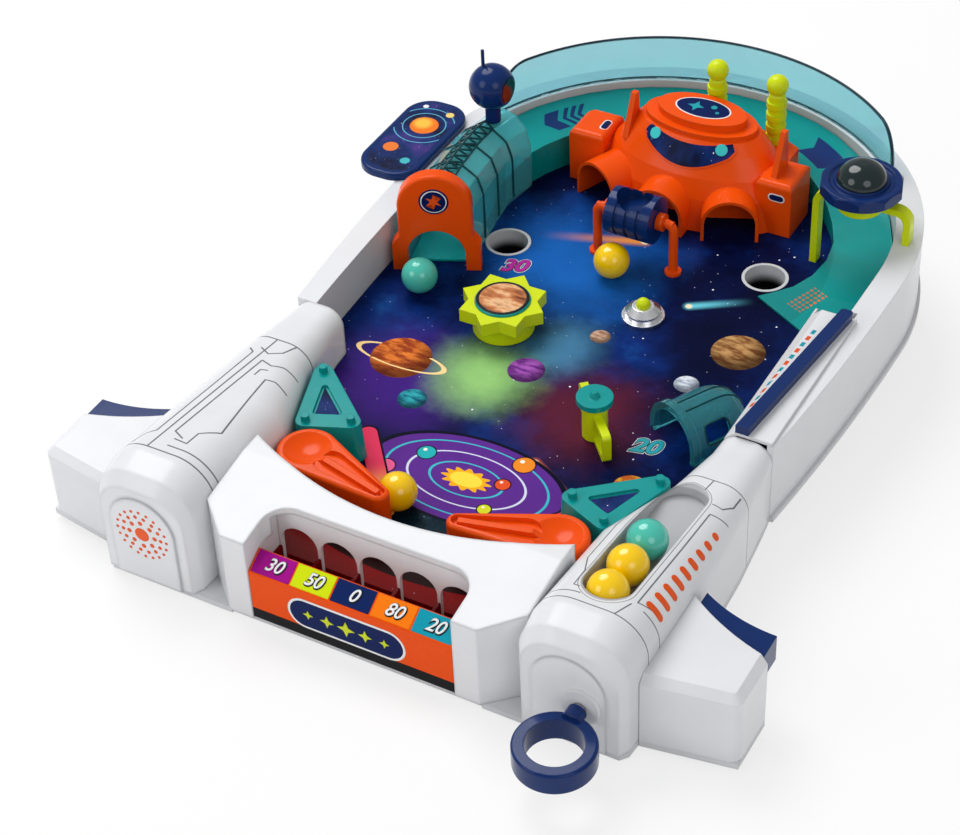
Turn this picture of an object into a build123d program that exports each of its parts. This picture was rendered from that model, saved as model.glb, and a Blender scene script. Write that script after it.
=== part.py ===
import os
from math import atan2, ceil, cos, degrees, hypot, pi, radians, sin, sqrt
from build123d import *

os.makedirs("parts", exist_ok=True)

# Tabletop pinball game. Sizes are in millimetres and angles in degrees.
# Every piece is laid out on a flat deck: x across, y towards the back, h up from the deck's underside.
# At the end the deck is tilted, so that the back stands higher, and set with the foot centre of its box at
# the origin.

# Deck and walls
deck_tilt = 4.57
foot_drop = 1.0
base_t = 3.0
base_lip = 1.5
field_top = 18.8
field_t = 2.4
rim_h = 43.6
wall_t = 2.5
back_y = 297.0
back_r = 130.0
tub_front_x = 122.7
tub_front_y = 158.0
rim_w = 13.5
rim_front_w = 10.5
seam = 0.3
fit = 0.05
run_gap = 0.4
over = 6.0

# Balls and the launch lane
ball_d = 18.0
lane_play = 1.4
lane_inset = 12.7
lane_wall_t = 1.2
lane_start_y = 57.0
lane_end_y = 262.0
lane_wall_h = 40.0
lane_inner_h = 31.0
lane_inner_end_y = 130.0

# Front corners, each a rocket-shaped hood: distance from the front, inner edge, outer edge and height
hood_in_x = 78.0
hood_swell = 6.3
hood_h = 63.0
hood_shoulder_y = 76.0
hood_shoulder_h = 54.3
hood_cap_y = 16.0
hood_nose_w = 24.9
hood_round_share = 0.36
cap_y_shares = (0.0, 0.3, 1.0)
cap_inset_shares = (0.07, 0.015, 0.0)
cap_h_shares = (0.86, 0.955, 1.0)
nose_y_shares = (0.5, 0.88, 1.0)
nose_in_shares = (0.71, 0.97, 1.0)
nose_out_shares = (0.3, 0.8, 1.0)
nose_h_shares = (0.58, 0.98, 1.0)
panel_w_share = 0.66
panel_h_share = 0.8
panel_t = 1.2

# Ball trough in the right hood
trough_w = 22.0
trough_y = 25.0
trough_end_y = 117.0
trough_depth = 13.5
trough_end_depth = 7.6
trough_wall = 2.0

# Hand grips and triggers
grip_out_x = 170.0
grip_in_y = 12.0
grip_out_y = 18.6
grip_back_out_y = 45.0
grip_back_in_y = 64.0
grip_h = 40.0
grip_wall = 2.2
grip_round = 5.0
grip_bevel = 3.5
trigger_travel = 6.0
trigger_front_y = 38.0
trigger_back_in_y = 70.0
trigger_back_out_y = 60.0
trigger_scallop = 2.5
trigger_out_inset = 0.4
trigger_low = 24.0

# Flippers
flipper_x = 62.5
flipper_y = 70.0
flipper_rest = 14.0
flipper_swing = 38.0
flipper_len = 44.0
flipper_head_r = 14.0
flipper_tip_r = 5.0
flipper_top = 41.0
flipper_lift = 0.6
flipper_edge_r = 2.0
dish_r = 17.0
dish_d = 4.0
groove_d = 2.2
groove_wall = 2.0
ridge_w = 3.0
shaft_r = 4.0
socket_r = 5.5
socket_h = 3.0
crank_low = 7.0
crank_t = 3.0
crank_hub_r = 6.5
crank_hub_h = 7.0
crank_pin_r = 2.0
link_t = 3.0
link_prong = 3.0
link_w = 8.0
link_foot_y = 54.0
link_jog_in_share = 0.42
link_jog_out_share = 0.58

# Plunger
ring_r = 17.5
ring_hole_r = 12.25
ring_h = 11.0
ring_drop = 4.5
ring_gap = 4.0
pull_travel = 22.0
rod_r = 3.0
bush_r = 6.0
bush_flange_r = 8.5
bush_flange_t = 2.0
bush_len = 8.0
collar_r = 7.0
collar_t = 4.0
collar_y = 46.0
hammer_r = 7.5
hammer_t = 6.0
stop_t = 2.5
stop_low = 12.0

# Coil springs
wire_r = 0.6
pull_coil_r = 5.2
pull_turns = 9
grip_coil_r = 4.2
grip_turns = 6
coil_samples = 24
spring_peg_r = 3.0
spring_peg_len = 3.0

# Front apron and score tray
apron_x = 62.0
apron_corner_y = 15.0
apron_back_y = 56.0
apron_mid_y = 36.0
apron_front_h = 47.0
apron_top_h = 54.0
apron_flat_y = 45.0
apron_roof_t = 3.5
tray_x = 50.0
tray_depth = 25.0
tray_corner = 12.0
tray_low = 4.2
tray_front_h = 31.0
label_depth = 10.0
label_rise = 5.9
divider_h = 26.0
bay_count = 5
bay_wall_t = 1.6
bay_floor_h = 13.0
bay_sheet_t = 2.0
bay_arch_h = 25.8

# Slings beside the flippers
sling_points_shares = ((0.878, 0.766), (0.768, 0.557), (0.572, 0.608))
sling_r = 4.5
sling_h = 20.0
sling_spread = 1.4
sling_frame = 3.0
sling_recess = 1.2
sling_post_r = 3.2
sling_post_h = 3.0

# Ball ramp round the back
track_w = 29.0
track_gap = 0.5
track_rise = 18.0
track_edge = 1.0
track_bank = 3.0
track_flare = 21.25
track_flare_power = 1.6
track_step = 8.0
track_mouth_angle = -8.0
track_flare_angle = 25.0
track_top_angle = 70.0
track_fall_angle = 150.0
tunnel_angle = 165.0
mouth_in_x = 61.0
mouth_in_y = 283.0

# Tunnel, its arch and the lookout on it
portal_inset = 24.5
portal_y = 237.0
portal_angle = 24.6
portal_w = 37.0
portal_lug_w = 44.0
portal_lug_h = 15.0
portal_lug_top = 20.0
portal_h = 56.0
portal_t = 7.0
portal_hole_w = 29.0
portal_hole_h = 24.0
portal_edge_r = 1.5
tunnel_wall = 1.8
tunnel_front_h = 46.0
tunnel_back_h = 40.0
tunnel_y_shares = (1.0, 0.72, 0.4)
tunnel_low_share = 0.15
tunnel_fall_share = 0.6
tunnel_facets = 5
lookout_r = 11.8
lookout_neck_r = 4.0
lookout_neck_h = 6.5
lookout_flat_share = 0.78
whisker_r = 0.9
whisker_h = 8.0
whisker_share = 0.4

# Sign plate at the left rim
sign_out = 8.0
sign_y = 295.0
sign_len = 70.0
sign_w = 34.0
sign_t = 4.0
sign_frame_w = 3.5
sign_panel_t = 1.2
sign_round_share = 0.42
sign_edge_r = 1.5

# Clear screen on the rim
screen_inset = 1.5
screen_t = 2.0
screen_h = 25.0
screen_left = 159.0
screen_right = 38.0
screen_end_r = 18.0

# Space station
station_x = -3.0
station_y = 346.0
station_rx = 52.0
station_ry = 28.0
station_h = 48.0
station_lean = 10.0
station_layer_shares = ((1.0, 0.0), (0.97, 0.34), (0.88, 0.54), (0.73, 0.74), (0.62, 0.86))
station_step_shares = ((0.58, 0.86, 0.92), (0.46, 0.92, 1.0))
hood_w = 29.0
arch_h = 24.0
arch_wall = 1.7
arch_depth = 26.0
arch_cut_depth = 20.0
arch_spread = 37.5
arch_side_drop = 7.5
arch_turn = 23.0
arch_front_y = 311.0
lug_len = 13.0
lug_w = 24.0
lug_h = 30.0
lug_round = 3.0
fin_t = 3.0
fin_len = 15.0
fin_h = 17.0
fin_shares = (-0.68, 0.9)
fin_lean_share = 0.75
shelf_w = 46.0
shelf_h = 27.0
shelf_inset = 4.5
antenna_shares = (-0.01, 0.62)
antenna_r = 5.2
antenna_h = 33.0
antenna_ball_r = 5.6
antenna_ribs = 4
antenna_groove = 0.9

# Flip-over cup between two bent legs
gate_x = -5.3
gate_y = 283.0
gate_axis_h = 47.5
gate_span = 41.5
gate_leg_r = 2.3
gate_foot_r = 4.2
gate_foot_t = 1.6
gate_bend_r = 4.0
gate_hub_r = 4.5
gate_hub_len = 3.5
gate_pin_r = 1.8
cup_r = 12.0
cup_len = 24.0
cup_wall = 2.0
cup_well_r = 9.0
cup_rib_count = 3
cup_rib_d = 0.8

# Spinning star
star_x = -39.0
star_y = 208.0
star_points = 8
star_tip_r = 21.8
star_root_r = 16.6
star_h = 16.0
star_plate_t = 7.0
star_lobe_r = 15.0
star_lift = 0.6
star_pin_r = 3.0
star_badge_r = 13.5
star_badge_t = 2.2
star_badge_edge = 0.8

# Bell
bell_x = 17.6
bell_y = 245.0
bell_r = 10.5
bell_h = 7.0
bell_foot_h = 1.6
bell_step_share = 0.82
bell_crown_share = 0.5
bell_cap_r = 3.6
bell_cap_h = 4.0

# Turnstile
turn_x = 36.0
turn_y = 157.0
turn_post_r = 6.0
turn_post_h = 19.0
turn_pin_r = 2.0
turn_cap_r = 8.5
turn_cap_t = 4.0
turn_cone_r = 2.6
turn_cone_h = 2.6
turn_arm_len = 15.0
turn_arm_h = 15.0
turn_arm_t = 4.0
turn_loop_wall = 2.4
turn_angle = 132.0

# Helmet tunnel
helmet_x = 71.0
helmet_y = 164.8
helmet_angle = -29.4
helmet_w = 32.0
helmet_h = 21.6
helmet_len = 22.0
helmet_wall = 2.0
helmet_brow = 4.0
helmet_brow_t = 1.4
helmet_window_w = 13.0
helmet_window_h = 9.0
helmet_window_share = 0.56

# Saucer over the ramp
ufo_inset = 21.5
ufo_y = 324.0
ufo_h = 69.0
ufo_r = 20.5
ufo_t = 9.0
ufo_sides = 10
ufo_profile_shares = ((0.55, 0.0), (0.92, 0.2), (1.0, 0.36), (1.0, 0.78), (0.93, 0.96), (0.8, 0.96),
                      (0.74, 0.84), (0.67, 0.84), (0.64, 1.0))
ufo_collar_r = 11.0
ufo_collar_h = 7.0
ufo_dome_r = 12.5
ufo_dome_h = 9.0
ufo_leg_w = 6.0
ufo_leg_t = 3.5
ufo_foot_in = 21.5
ufo_foot_out = 25.0
ufo_bend_r = 6.0

# Drop holes in the playfield
hole_r = 10.0
hole_wall = 1.6
hole_x_shares = (-0.601, 0.496)
hole_y_shares = (0.909, 1.008)

# Cover along the launch lane
rail_rise = 6.0
rail_lip_t = 1.6
rail_shoulder = 5.4
bar_w = 6.2
bar_front_inset = 12.3
bar_back_inset = 2.3
rail_t = 2.4
rail_inset = 0.9
rail_end_y = 256.0

# Balls as they lie
ball_gap = 0.3
flipper_ball_x = -20.0
flipper_ball_y = 75.0
gate_ball_x = -10.7
gate_ball_y = 267.6
portal_ball_x = -89.9
portal_ball_y = 215.7

# Feet, legs and screws
foot_r = 8.0
foot_x = 105.0
foot_y = 14.0
leg_r = 10.0
leg_x = 80.0
leg_y = 365.0
screw_r = 1.5
screw_head_r = 3.0
screw_head_t = 1.6
screw_len = 7.0
boss_r = 3.6
rim_screw_angles = (40.0, 90.0, 140.0)

# Values that follow from the sizes above
inner_r = back_r - rim_w
inner_front_x = tub_front_x - rim_front_w
lane_x = tub_front_x - lane_inset
hood_out_x = tub_front_x + hood_swell
hood_nose_in_x = tub_front_x - hood_nose_w
track_in_r = inner_r - track_w
portal_x = portal_inset - inner_r
sign_x = -back_r - sign_out
screen_r = inner_r + screen_inset
shelf_back_y = back_y + track_in_r - shelf_inset
ufo_x = inner_r - ufo_inset
rail_out_x = tub_front_x - rail_inset
lane_w = ball_d + lane_play
lane_in = lane_x - lane_w / 2
lane_out = lane_x + lane_w / 2
ball_r = ball_d / 2
plunger_h = field_top + ball_r
top_slope = (hood_h - hood_shoulder_h) / (hood_shoulder_y - hood_cap_y)


def plan(*points):
    return make_face(Polyline(*points, close=True))


def slab(face, low, high):
    return Pos(0, 0, low) * extrude(face, high - low)


def block(x0, x1, y0, y1, low, high):
    centre = Pos((x0 + x1) / 2, (y0 + y1) / 2, (low + high) / 2)
    return centre * Box(x1 - x0, y1 - y0, high - low)


def drum(x, y, low, high, radius):
    return Pos(x, y, (low + high) / 2) * Cylinder(radius, high - low)


def along_y(x, h, y0, y1, radius):
    return Pos(x, (y0 + y1) / 2, h) * Rot(90, 0, 0) * Cylinder(radius, y1 - y0)


def along_x(y, h, x0, x1, radius):
    return Pos((x0 + x1) / 2, y, h) * Rot(0, 90, 0) * Cylinder(radius, x1 - x0)


def turned(x, y, *profile):
    return Pos(x, y, 0) * revolve(Plane.XZ * plan(*profile), Axis.Z)


def arch(width, height):
    r = width / 2
    legs = Polyline((-r, height - r), (-r, 0), (r, 0), (r, height - r))
    crown = ThreePointArc((r, height - r), (0, height), (-r, height - r))
    return make_face(legs + crown)


def facet_arch(width, height, facets):
    r = width / 2
    turns = [pi * i / facets for i in range(facets + 1)]
    return plan((-r, 0), (r, 0), *[(r * cos(a), height - r + r * sin(a)) for a in turns])


def hull(*discs):
    rims = [(Pos(x, y) * Circle(r)).edges() for x, y, r in discs]
    return make_hull([edge for rim in rims for edge in rim])


def rounded(width, height, radius):
    return RectangleRounded(width, height, radius)


def mirrored(shape):
    return mirror(shape, Plane.YZ)


def upright(face, y):
    return Pos(0, y, 0) * (Plane.XZ * face)


# Tub wall, with a hollow rim that is open below and a slot for the launch lane at the right
def tub_face(radius, front_x, front_y):
    right = TangentArc((radius, back_y), (front_x, front_y), tangent=(0, -1))
    left = TangentArc((-radius, back_y), (-front_x, front_y), tangent=(0, -1))
    back = ThreePointArc((radius, back_y), (0, back_y + radius), (-radius, back_y))
    front = Line((front_x, front_y), (-front_x, front_y))
    return make_face(right + front + left + back)


def make_housing():
    ring = tub_face(back_r, tub_front_x, tub_front_y) - tub_face(inner_r, inner_front_x, tub_front_y)
    tub = slab(ring, base_t, rim_h)
    hollow_out = tub_face(back_r - wall_t, tub_front_x - wall_t, tub_front_y + wall_t)
    hollow_in = tub_face(inner_r + wall_t, inner_front_x + wall_t, tub_front_y + wall_t)
    hollow = slab(hollow_out - hollow_in, base_t, rim_h - wall_t)
    hollow -= block(0, back_r, tub_front_y, back_y, base_t, rim_h)
    slot = block(lane_in - lane_wall_t, lane_out, tub_front_y - over, lane_end_y + seam, base_t - over,
                 rim_h + over)
    bosses = Part() + [drum(x, y, base_t, rim_h - wall_t, boss_r) for x, y in rim_screws()]
    shell = tub - hollow + bosses - slot
    return shell - screw_holes(rim_screws(), base_t, base_t + screw_len)


def rim_screws():
    r = (back_r + inner_r) / 2
    return [(r * cos(radians(a)), back_y + r * sin(radians(a))) for a in rim_screw_angles]


def screw_holes(places, low, high):
    return Part() + [drum(x, y, low, high, screw_r + fit) for x, y in places]


def corner_screws():
    x = (hood_in_x + hood_out_x) / 2
    return [(side * x, hood_cap_y + boss_r) for side in (-1, 1)]


# Sections of a front corner from its front cap to its nose: y, inner x, outer x, height
def hood_sections(inset):
    width = hood_out_x - hood_in_x
    table = []
    for y_share, in_share, h_share in zip(cap_y_shares, cap_inset_shares, cap_h_shares):
        side = width * in_share
        table.append((hood_cap_y * y_share, hood_in_x + side, hood_out_x - side, hood_h * h_share))
    table.append((hood_shoulder_y, hood_in_x, hood_out_x, hood_shoulder_h))
    nose = tub_front_y - hood_shoulder_y
    shares = zip(nose_y_shares, nose_in_shares, nose_out_shares, nose_h_shares)
    for y_share, in_share, out_share, h_share in shares:
        table.append((
            hood_shoulder_y + nose * y_share,
            hood_in_x + (hood_nose_in_x - hood_in_x) * in_share,
            hood_out_x + (tub_front_x - hood_out_x) * out_share,
            hood_shoulder_h + (rim_h - hood_shoulder_h) * h_share,
        ))
    if inset:
        first, last = table[0], table[-1]
        table[0] = (first[0] + inset,) + first[1:]
        table[-1] = (last[0] - inset,) + last[1:]
    return [(y, a + inset, b - inset, h - inset) for y, a, b, h in table]


def hood_face(inner, outer, height):
    r = hood_round_share * (outer - inner)
    k = r * (1 - sqrt(2) / 2)
    left = Polyline((inner + r, base_t), (inner, base_t), (inner, height - r))
    left_arc = ThreePointArc((inner, height - r), (inner + k, height - k), (inner + r, height))
    top = Line((inner + r, height), (outer - r, height))
    right_arc = ThreePointArc((outer - r, height), (outer - k, height - k), (outer, height - r))
    right = Polyline((outer, height - r), (outer, base_t), (inner + r, base_t))
    return make_face(left + left_arc + top + right_arc + right)


def hood_solid(inset):
    faces = [upright(hood_face(a, b, h), y) for y, a, b, h in hood_sections(inset)]
    return loft(faces, ruled=True)


def hood_top(y):
    return hood_h - top_slope * (y - hood_cap_y)


def link_notch():
    y1 = flipper_y + crank_reach() * sin(radians(flipper_swing / 2)) + link_half() + run_gap
    y0 = link_foot_y - trigger_travel - run_gap
    return block(flipper_x, grip_out_x, y0, y1, base_t - over, base_t + seam + link_t + run_gap)


def make_booster():
    width = hood_out_x - hood_in_x
    middle = (hood_in_x + hood_out_x) / 2
    shell = hood_solid(0) - hood_solid(wall_t)
    badge = arch(width * panel_w_share, hood_h * panel_h_share - base_t)
    panel = Pos(middle, wall_t / 2, base_t) * (Plane.XZ * extrude(badge, wall_t / 2 + panel_t))
    first = hood_sections(0)[0][0]
    panel = Pos(0, first, 0) * panel
    places = [place for place in corner_screws() if place[0] > 0]
    boss = Part() + [drum(x, y, base_t, base_t + screw_len + wall_t, boss_r) for x, y in places]
    rib = block(middle - boss_r, middle + boss_r, wall_t, hood_cap_y + boss_r, base_t, base_t + screw_len)
    shell += panel + boss + rib
    return shell - screw_holes(places, base_t, base_t + screw_len) - link_notch()


def trough_place(drop):
    x = (hood_in_x + hood_out_x) / 2
    y = (trough_y + trough_end_y) / 2
    front = hood_top(trough_y) - trough_depth
    back = hood_top(trough_end_y) - trough_end_depth
    lean = degrees(atan2(back - front, trough_end_y - trough_y))
    return Pos(x, y, (front + back) / 2 - drop) * Rot(lean, 0, 0)


def trough_prism(grow):
    length = trough_end_y - trough_y + 2 * grow
    width = trough_w + 2 * grow
    return trough_place(grow) * extrude(SlotOverall(length, width, rotation=90), hood_h)


def make_right_booster():
    shell = make_booster()
    basin = trough_prism(trough_wall) & hood_solid(0)
    stop_y = collar_y + collar_t / 2 + run_gap
    stop = block(lane_in, lane_out, stop_y, stop_y + stop_t, stop_low, hood_h) & hood_solid(0)
    shell = shell + basin + stop - trough_prism(0)
    shell -= along_y(lane_x, plunger_h, -panel_t - over, wall_t + over, bush_r + fit)
    shell -= along_y(lane_x, plunger_h, stop_y - over, stop_y + stop_t + over, rod_r + fit)
    way_out = block(lane_in, lane_out, tub_front_y - wall_t - over, tub_front_y + over, base_t - over,
                    field_top + ball_d + lane_play)
    return shell - way_out


# Hand grip: a shell open at its back and towards the front corner
def grip_plan(inset, tail):
    out_x = grip_out_x - inset
    in_x = hood_out_x
    mid_x = (in_x + out_x) / 2
    sag = (grip_back_in_y + grip_back_out_y) / 2 - trigger_scallop
    front = Polyline((in_x, grip_back_in_y + tail), (in_x, grip_in_y + inset), (out_x, grip_out_y + inset),
                     (out_x, grip_back_out_y + tail))
    back = ThreePointArc((out_x, grip_back_out_y + tail), (mid_x, sag + tail), (in_x, grip_back_in_y + tail))
    return make_face(front + back)


def bevelled(body):
    top = body.edges().group_by(Axis.Z)[-1]
    rim = [e for e in top if e.center().Y < trigger_front_y and e.center().X > hood_out_x + grip_wall]
    return chamfer(rim, grip_bevel)


def make_grip():
    body = slab(grip_plan(0, 0), base_t, grip_h)
    corner = body.edges().filter_by(Axis.Z).group_by(Axis.X)[-1].sort_by(Axis.Y)[0]
    body = bevelled(fillet(corner, grip_round))
    tail = grip_back_in_y - grip_in_y
    cavity = slab(grip_plan(grip_wall, tail), base_t - over, grip_h - grip_wall)
    cavity = chamfer(cavity.edges().group_by(Axis.Z)[-1].sort_by(Axis.Y)[0], grip_bevel)
    peg_y = grip_in_y + grip_wall
    peg = along_y(spring_x(), spring_h(), peg_y, spring_front_y() + spring_peg_len, spring_peg_r)
    seat = along_y(spring_x(), spring_h(), peg_y, spring_front_y(), grip_coil_r + 2 * wire_r)
    return body - cavity + (peg + seat & slab(grip_plan(0, 0), base_t, grip_h))


def spring_x():
    return (hood_out_x + grip_out_x) / 2


def spring_h():
    return (base_t + grip_h) / 2


def spring_front_y():
    return (grip_in_y + grip_out_y) / 2 + grip_wall + wire_r


def make_trigger():
    in_x = hood_out_x + run_gap + wall_t
    out_x = grip_out_x - grip_wall - trigger_out_inset
    mid_x = (in_x + out_x) / 2
    mid_y = (trigger_back_in_y + trigger_back_out_y) / 2 - trigger_scallop
    sides = Polyline((in_x, trigger_back_in_y), (in_x, trigger_front_y), (out_x, trigger_front_y),
                     (out_x, trigger_back_out_y))
    scallop = ThreePointArc((out_x, trigger_back_out_y), (mid_x, mid_y), (in_x, trigger_back_in_y))
    outline = make_face(sides + scallop)
    body = slab(outline, trigger_low, grip_h - grip_wall - seam)
    body += slab(outline, base_t + seam, trigger_low) & slab(grip_plan(0, 0), base_t, grip_h)
    peg_end = trigger_front_y - spring_peg_len
    return body + along_y(spring_x(), spring_h(), peg_end, trigger_front_y, spring_peg_r)


# Flipper linkage under the playfield
def crank_reach():
    return trigger_travel / (2 * sin(radians(flipper_swing / 2)))


def link_half():
    return crank_pin_r + run_gap + link_prong


def make_link():
    low = base_t + seam
    pin_x = flipper_x + crank_reach()
    pin_y = flipper_y + crank_reach() * sin(radians(flipper_swing / 2))
    half = link_half()
    trigger_x = hood_out_x + run_gap + wall_t
    jog_in = hood_in_x + (hood_out_x - hood_in_x) * link_jog_in_share
    jog_out = hood_in_x + (hood_out_x - hood_in_x) * link_jog_out_share
    foot = link_foot_y
    start = pin_x - crank_pin_r - run_gap
    bar = plan((start, pin_y - half), (jog_in, pin_y - half), (jog_in, foot), (trigger_x, foot),
               (trigger_x, foot + link_w), (jog_out, foot + link_w), (jog_out, pin_y + half),
               (start, pin_y + half))
    slot_end = pin_x + crank_pin_r + run_gap
    slot = block(start - over, slot_end, pin_y - crank_pin_r - run_gap, pin_y + crank_pin_r + run_gap,
                 low - over, low + link_t + over)
    return slab(bar, low, low + link_t) - slot


def make_crank():
    angle = flipper_swing / 2
    reach = crank_reach()
    arm = slab(hull((0, 0, crank_hub_r), (reach, 0, crank_pin_r + wire_r)), crank_low, crank_low + crank_t)
    hub = drum(0, 0, crank_low, crank_low + crank_hub_h, crank_hub_r)
    pin = drum(reach, 0, base_t + seam, crank_low, crank_pin_r)
    bore = drum(0, 0, crank_low - over, crank_low + crank_hub_h + over, shaft_r + fit)
    return Pos(flipper_x, flipper_y, 0) * Rot(0, 0, angle) * (arm + hub + pin - bore)


def make_flipper():
    low = field_top + flipper_lift
    body = slab(hull((0, 0, flipper_head_r), (flipper_len, 0, flipper_tip_r)), low, flipper_top)
    body = fillet(body.edges().group_by(Axis.Z)[-1], flipper_edge_r)
    dish = Pos(0, 0, flipper_top + dish_r - dish_d) * Sphere(dish_r)
    wall = flipper_edge_r + groove_wall
    start = flipper_head_r
    share = start / flipper_len
    start_r = flipper_head_r + (flipper_tip_r - flipper_head_r) * share - wall
    pocket = slab(hull((start, 0, start_r), (flipper_len, 0, flipper_tip_r - groove_wall)),
                  flipper_top - groove_d, flipper_top + over)
    ridge = block(0, flipper_len, -ridge_w / 2, ridge_w / 2, low, flipper_top)
    shaft = drum(0, 0, base_t + seam, low, shaft_r)
    body = body - (pocket - ridge) - dish + shaft
    return Pos(flipper_x, flipper_y, 0) * Rot(0, 0, 180 + flipper_rest) * body


# Base plate with sockets for the flipper shafts
def make_base_plate():
    rows = hood_sections(0)
    edge = [(b, y) for y, a, b, h in rows]
    front = rows[0][0] + panel_t
    right = plan((0, tray_depth), (apron_x, tray_depth), (apron_x, front), (edge[0][0], front), *edge[1:],
                 (0, tub_front_y))
    half = right + grip_plan(0, 0)
    face = tub_face(back_r + base_lip, tub_front_x + base_lip, tub_front_y) + half + mirror(half, Plane.YZ)
    tongue = Pos(0, tray_depth / 2 + grip_wall) * Rectangle(2 * apron_x, tray_depth)
    plate = slab(face + tongue, 0, base_t)
    for side in (-1, 1):
        plate += drum(side * flipper_x, flipper_y, base_t, base_t + socket_h, socket_r)
        plate -= drum(side * flipper_x, flipper_y, base_t, base_t + socket_h + over, shaft_r + fit)
    places = rim_screws() + corner_screws()
    holes = screw_holes(places, -over, base_t + over)
    sinks = Part() + [drum(x, y, -over, screw_head_t + seam, screw_head_r + fit) for x, y in places]
    return plate - holes - sinks


def make_screws():
    screws = []
    for x, y in rim_screws() + corner_screws():
        head = drum(x, y, seam, seam + screw_head_t, screw_head_r)
        screws.append(head + drum(x, y, seam + screw_head_t, base_t + screw_len - seam, screw_r))
    return screws


# Playfield, with a strip that runs under the launch lane into the right front corner
def make_playfield():
    gap = 2 * seam
    rows = [row for row in hood_sections(0) if row[0] >= hood_shoulder_y]
    edge = [(a - gap, y) for y, a, b, h in rows]
    apron_in = hood_in_x - wall_t - gap
    start = tray_depth + bay_sheet_t + seam
    nose = edge[-1]
    right = [(apron_in, start), (apron_in, apron_back_y)] + edge
    left = [(-x, y) for x, y in reversed(right)]
    front = plan(*right, (nose[0], tub_front_y + over), (-nose[0], tub_front_y + over), *left)
    back = tub_face(inner_r - seam, inner_front_x - seam, tub_front_y + seam)
    wide = Pos(lane_x, (lane_start_y + lane_inner_end_y) / 2) * Rectangle(
        lane_w + 2 * lane_wall_t, lane_inner_end_y - lane_start_y)
    narrow = Pos(lane_x, (lane_inner_end_y + lane_end_y) / 2) * Rectangle(
        lane_w - 2 * seam, lane_end_y - lane_inner_end_y)
    panel = slab(front + back + wide + narrow, field_top - field_t, field_top)
    for x, y in hole_places():
        panel -= drum(x, y, field_top - field_t - over, field_top + over, hole_r + hole_wall + seam)
    for side in (-1, 1):
        panel -= drum(side * flipper_x, flipper_y, field_top - over, field_top + over, shaft_r + fit)
    return panel


def hole_places():
    return [(inner_r * x, back_y * y) for x, y in zip(hole_x_shares, hole_y_shares)]


def make_hole_cups():
    cups = []
    for x, y in hole_places():
        cup = drum(x, y, base_t, field_top, hole_r + hole_wall)
        cups.append(cup - drum(x, y, base_t + hole_wall, field_top + over, hole_r))
    return cups


# Front apron: a bridge over the score tray
def make_apron():
    out = hood_in_x
    back = ThreePointArc((out, apron_back_y), (0, apron_mid_y), (-out, apron_back_y))
    sides = Polyline((-out, apron_back_y), (-out, apron_corner_y), (-apron_x, 0), (apron_x, 0),
                     (out, apron_corner_y), (out, apron_back_y))
    body = slab(make_face(sides + back), base_t, apron_top_h)
    rise = apron_top_h - apron_front_h
    wedge = plan((-over, apron_front_h - rise * over / apron_flat_y), (apron_flat_y, apron_top_h),
                 (apron_flat_y, apron_top_h + over), (-over, apron_top_h + over))
    body -= extrude(Plane.YZ * wedge, out + over, both=True)
    label_top = tray_front_h + label_rise + seam
    tray_room = block(-tray_x, tray_x, -over, tray_depth, label_top, apron_top_h + over)
    tray_room = fillet(tray_room.edges().filter_by(Axis.Z).group_by(Axis.Y)[-1], tray_corner)
    tray_room += block(-tray_x, tray_x, -over, tray_depth, base_t - over, label_top)
    roof = apron_front_h + rise * tray_depth / apron_flat_y - apron_roof_t
    side = out - wall_t
    way = block(-side, side, tray_depth + bay_sheet_t, apron_back_y + over, base_t - over, roof)
    door = block(-tray_x, tray_x, tray_depth - over, tray_depth + bay_sheet_t + over, base_t - over, roof)
    return body - tray_room - way - door


def bay_pitch():
    return (2 * tray_x - bay_wall_t) / bay_count


def bay_centres():
    return [(i - (bay_count - 1) / 2) * bay_pitch() for i in range(bay_count)]


def make_bay_wall():
    rise = apron_top_h - apron_front_h
    roof = apron_front_h + rise * tray_depth / apron_flat_y - apron_roof_t
    side = tray_x - seam
    sheet = block(-side, side, tray_depth + fit, tray_depth + bay_sheet_t - fit, base_t, roof - fit)
    for x in bay_centres():
        hole = extrude(Plane.XZ * arch(bay_pitch() - bay_wall_t, bay_arch_h), bay_sheet_t + over, both=True)
        sheet -= Pos(x, tray_depth, bay_floor_h) * hole
    return sheet


def make_score_tray():
    side = tray_x - seam
    label_top = tray_front_h + label_rise
    profile = plan((seam, tray_low), (seam, tray_front_h), (label_depth, label_top),
                   (tray_depth - seam, label_top), (tray_depth - seam, tray_low))
    body = extrude(Plane.YZ * profile, side, both=True)
    foot = block(-side, side, label_depth, tray_depth - seam, base_t, tray_low)
    body += foot
    for x in bay_centres():
        half = (bay_pitch() - bay_wall_t) / 2
        body -= block(x - half, x + half, label_depth, tray_depth + over, bay_floor_h, label_top + over)
    return body - block(-side, side, label_depth, tray_depth + over, divider_h, label_top + over)


# Slings
def make_sling():
    points = [(hood_nose_in_x * x, tub_front_y * y) for x, y in sling_points_shares]
    top = field_top + sling_h
    foot = hull(*[(x, y, sling_r + sling_spread) for x, y in points])
    crown = hull(*[(x, y, sling_r) for x, y in points])
    block_part = loft([Pos(0, 0, field_top) * foot, Pos(0, 0, top) * crown], ruled=True)
    cx = sum(x for x, y in points) / len(points)
    cy = sum(y for x, y in points) / len(points)
    inner = hull(*[(cx + (x - cx) / 2, cy + (y - cy) / 2, sling_r - sling_frame) for x, y in points])
    block_part -= slab(inner, top - sling_recess, top + over)
    posts = Part() + [drum(x, y, top, top + sling_post_h, sling_post_r - sling_recess) for x, y in points]
    return block_part + posts


# Ball ramp: ruled sections from the mouth at the right, round the back and down to the arch at the left
def ramp_height(share):
    s = min(max(share, 0), 1)
    return field_top + track_edge + (track_rise - track_edge) * s * s * (3 - 2 * s)


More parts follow.
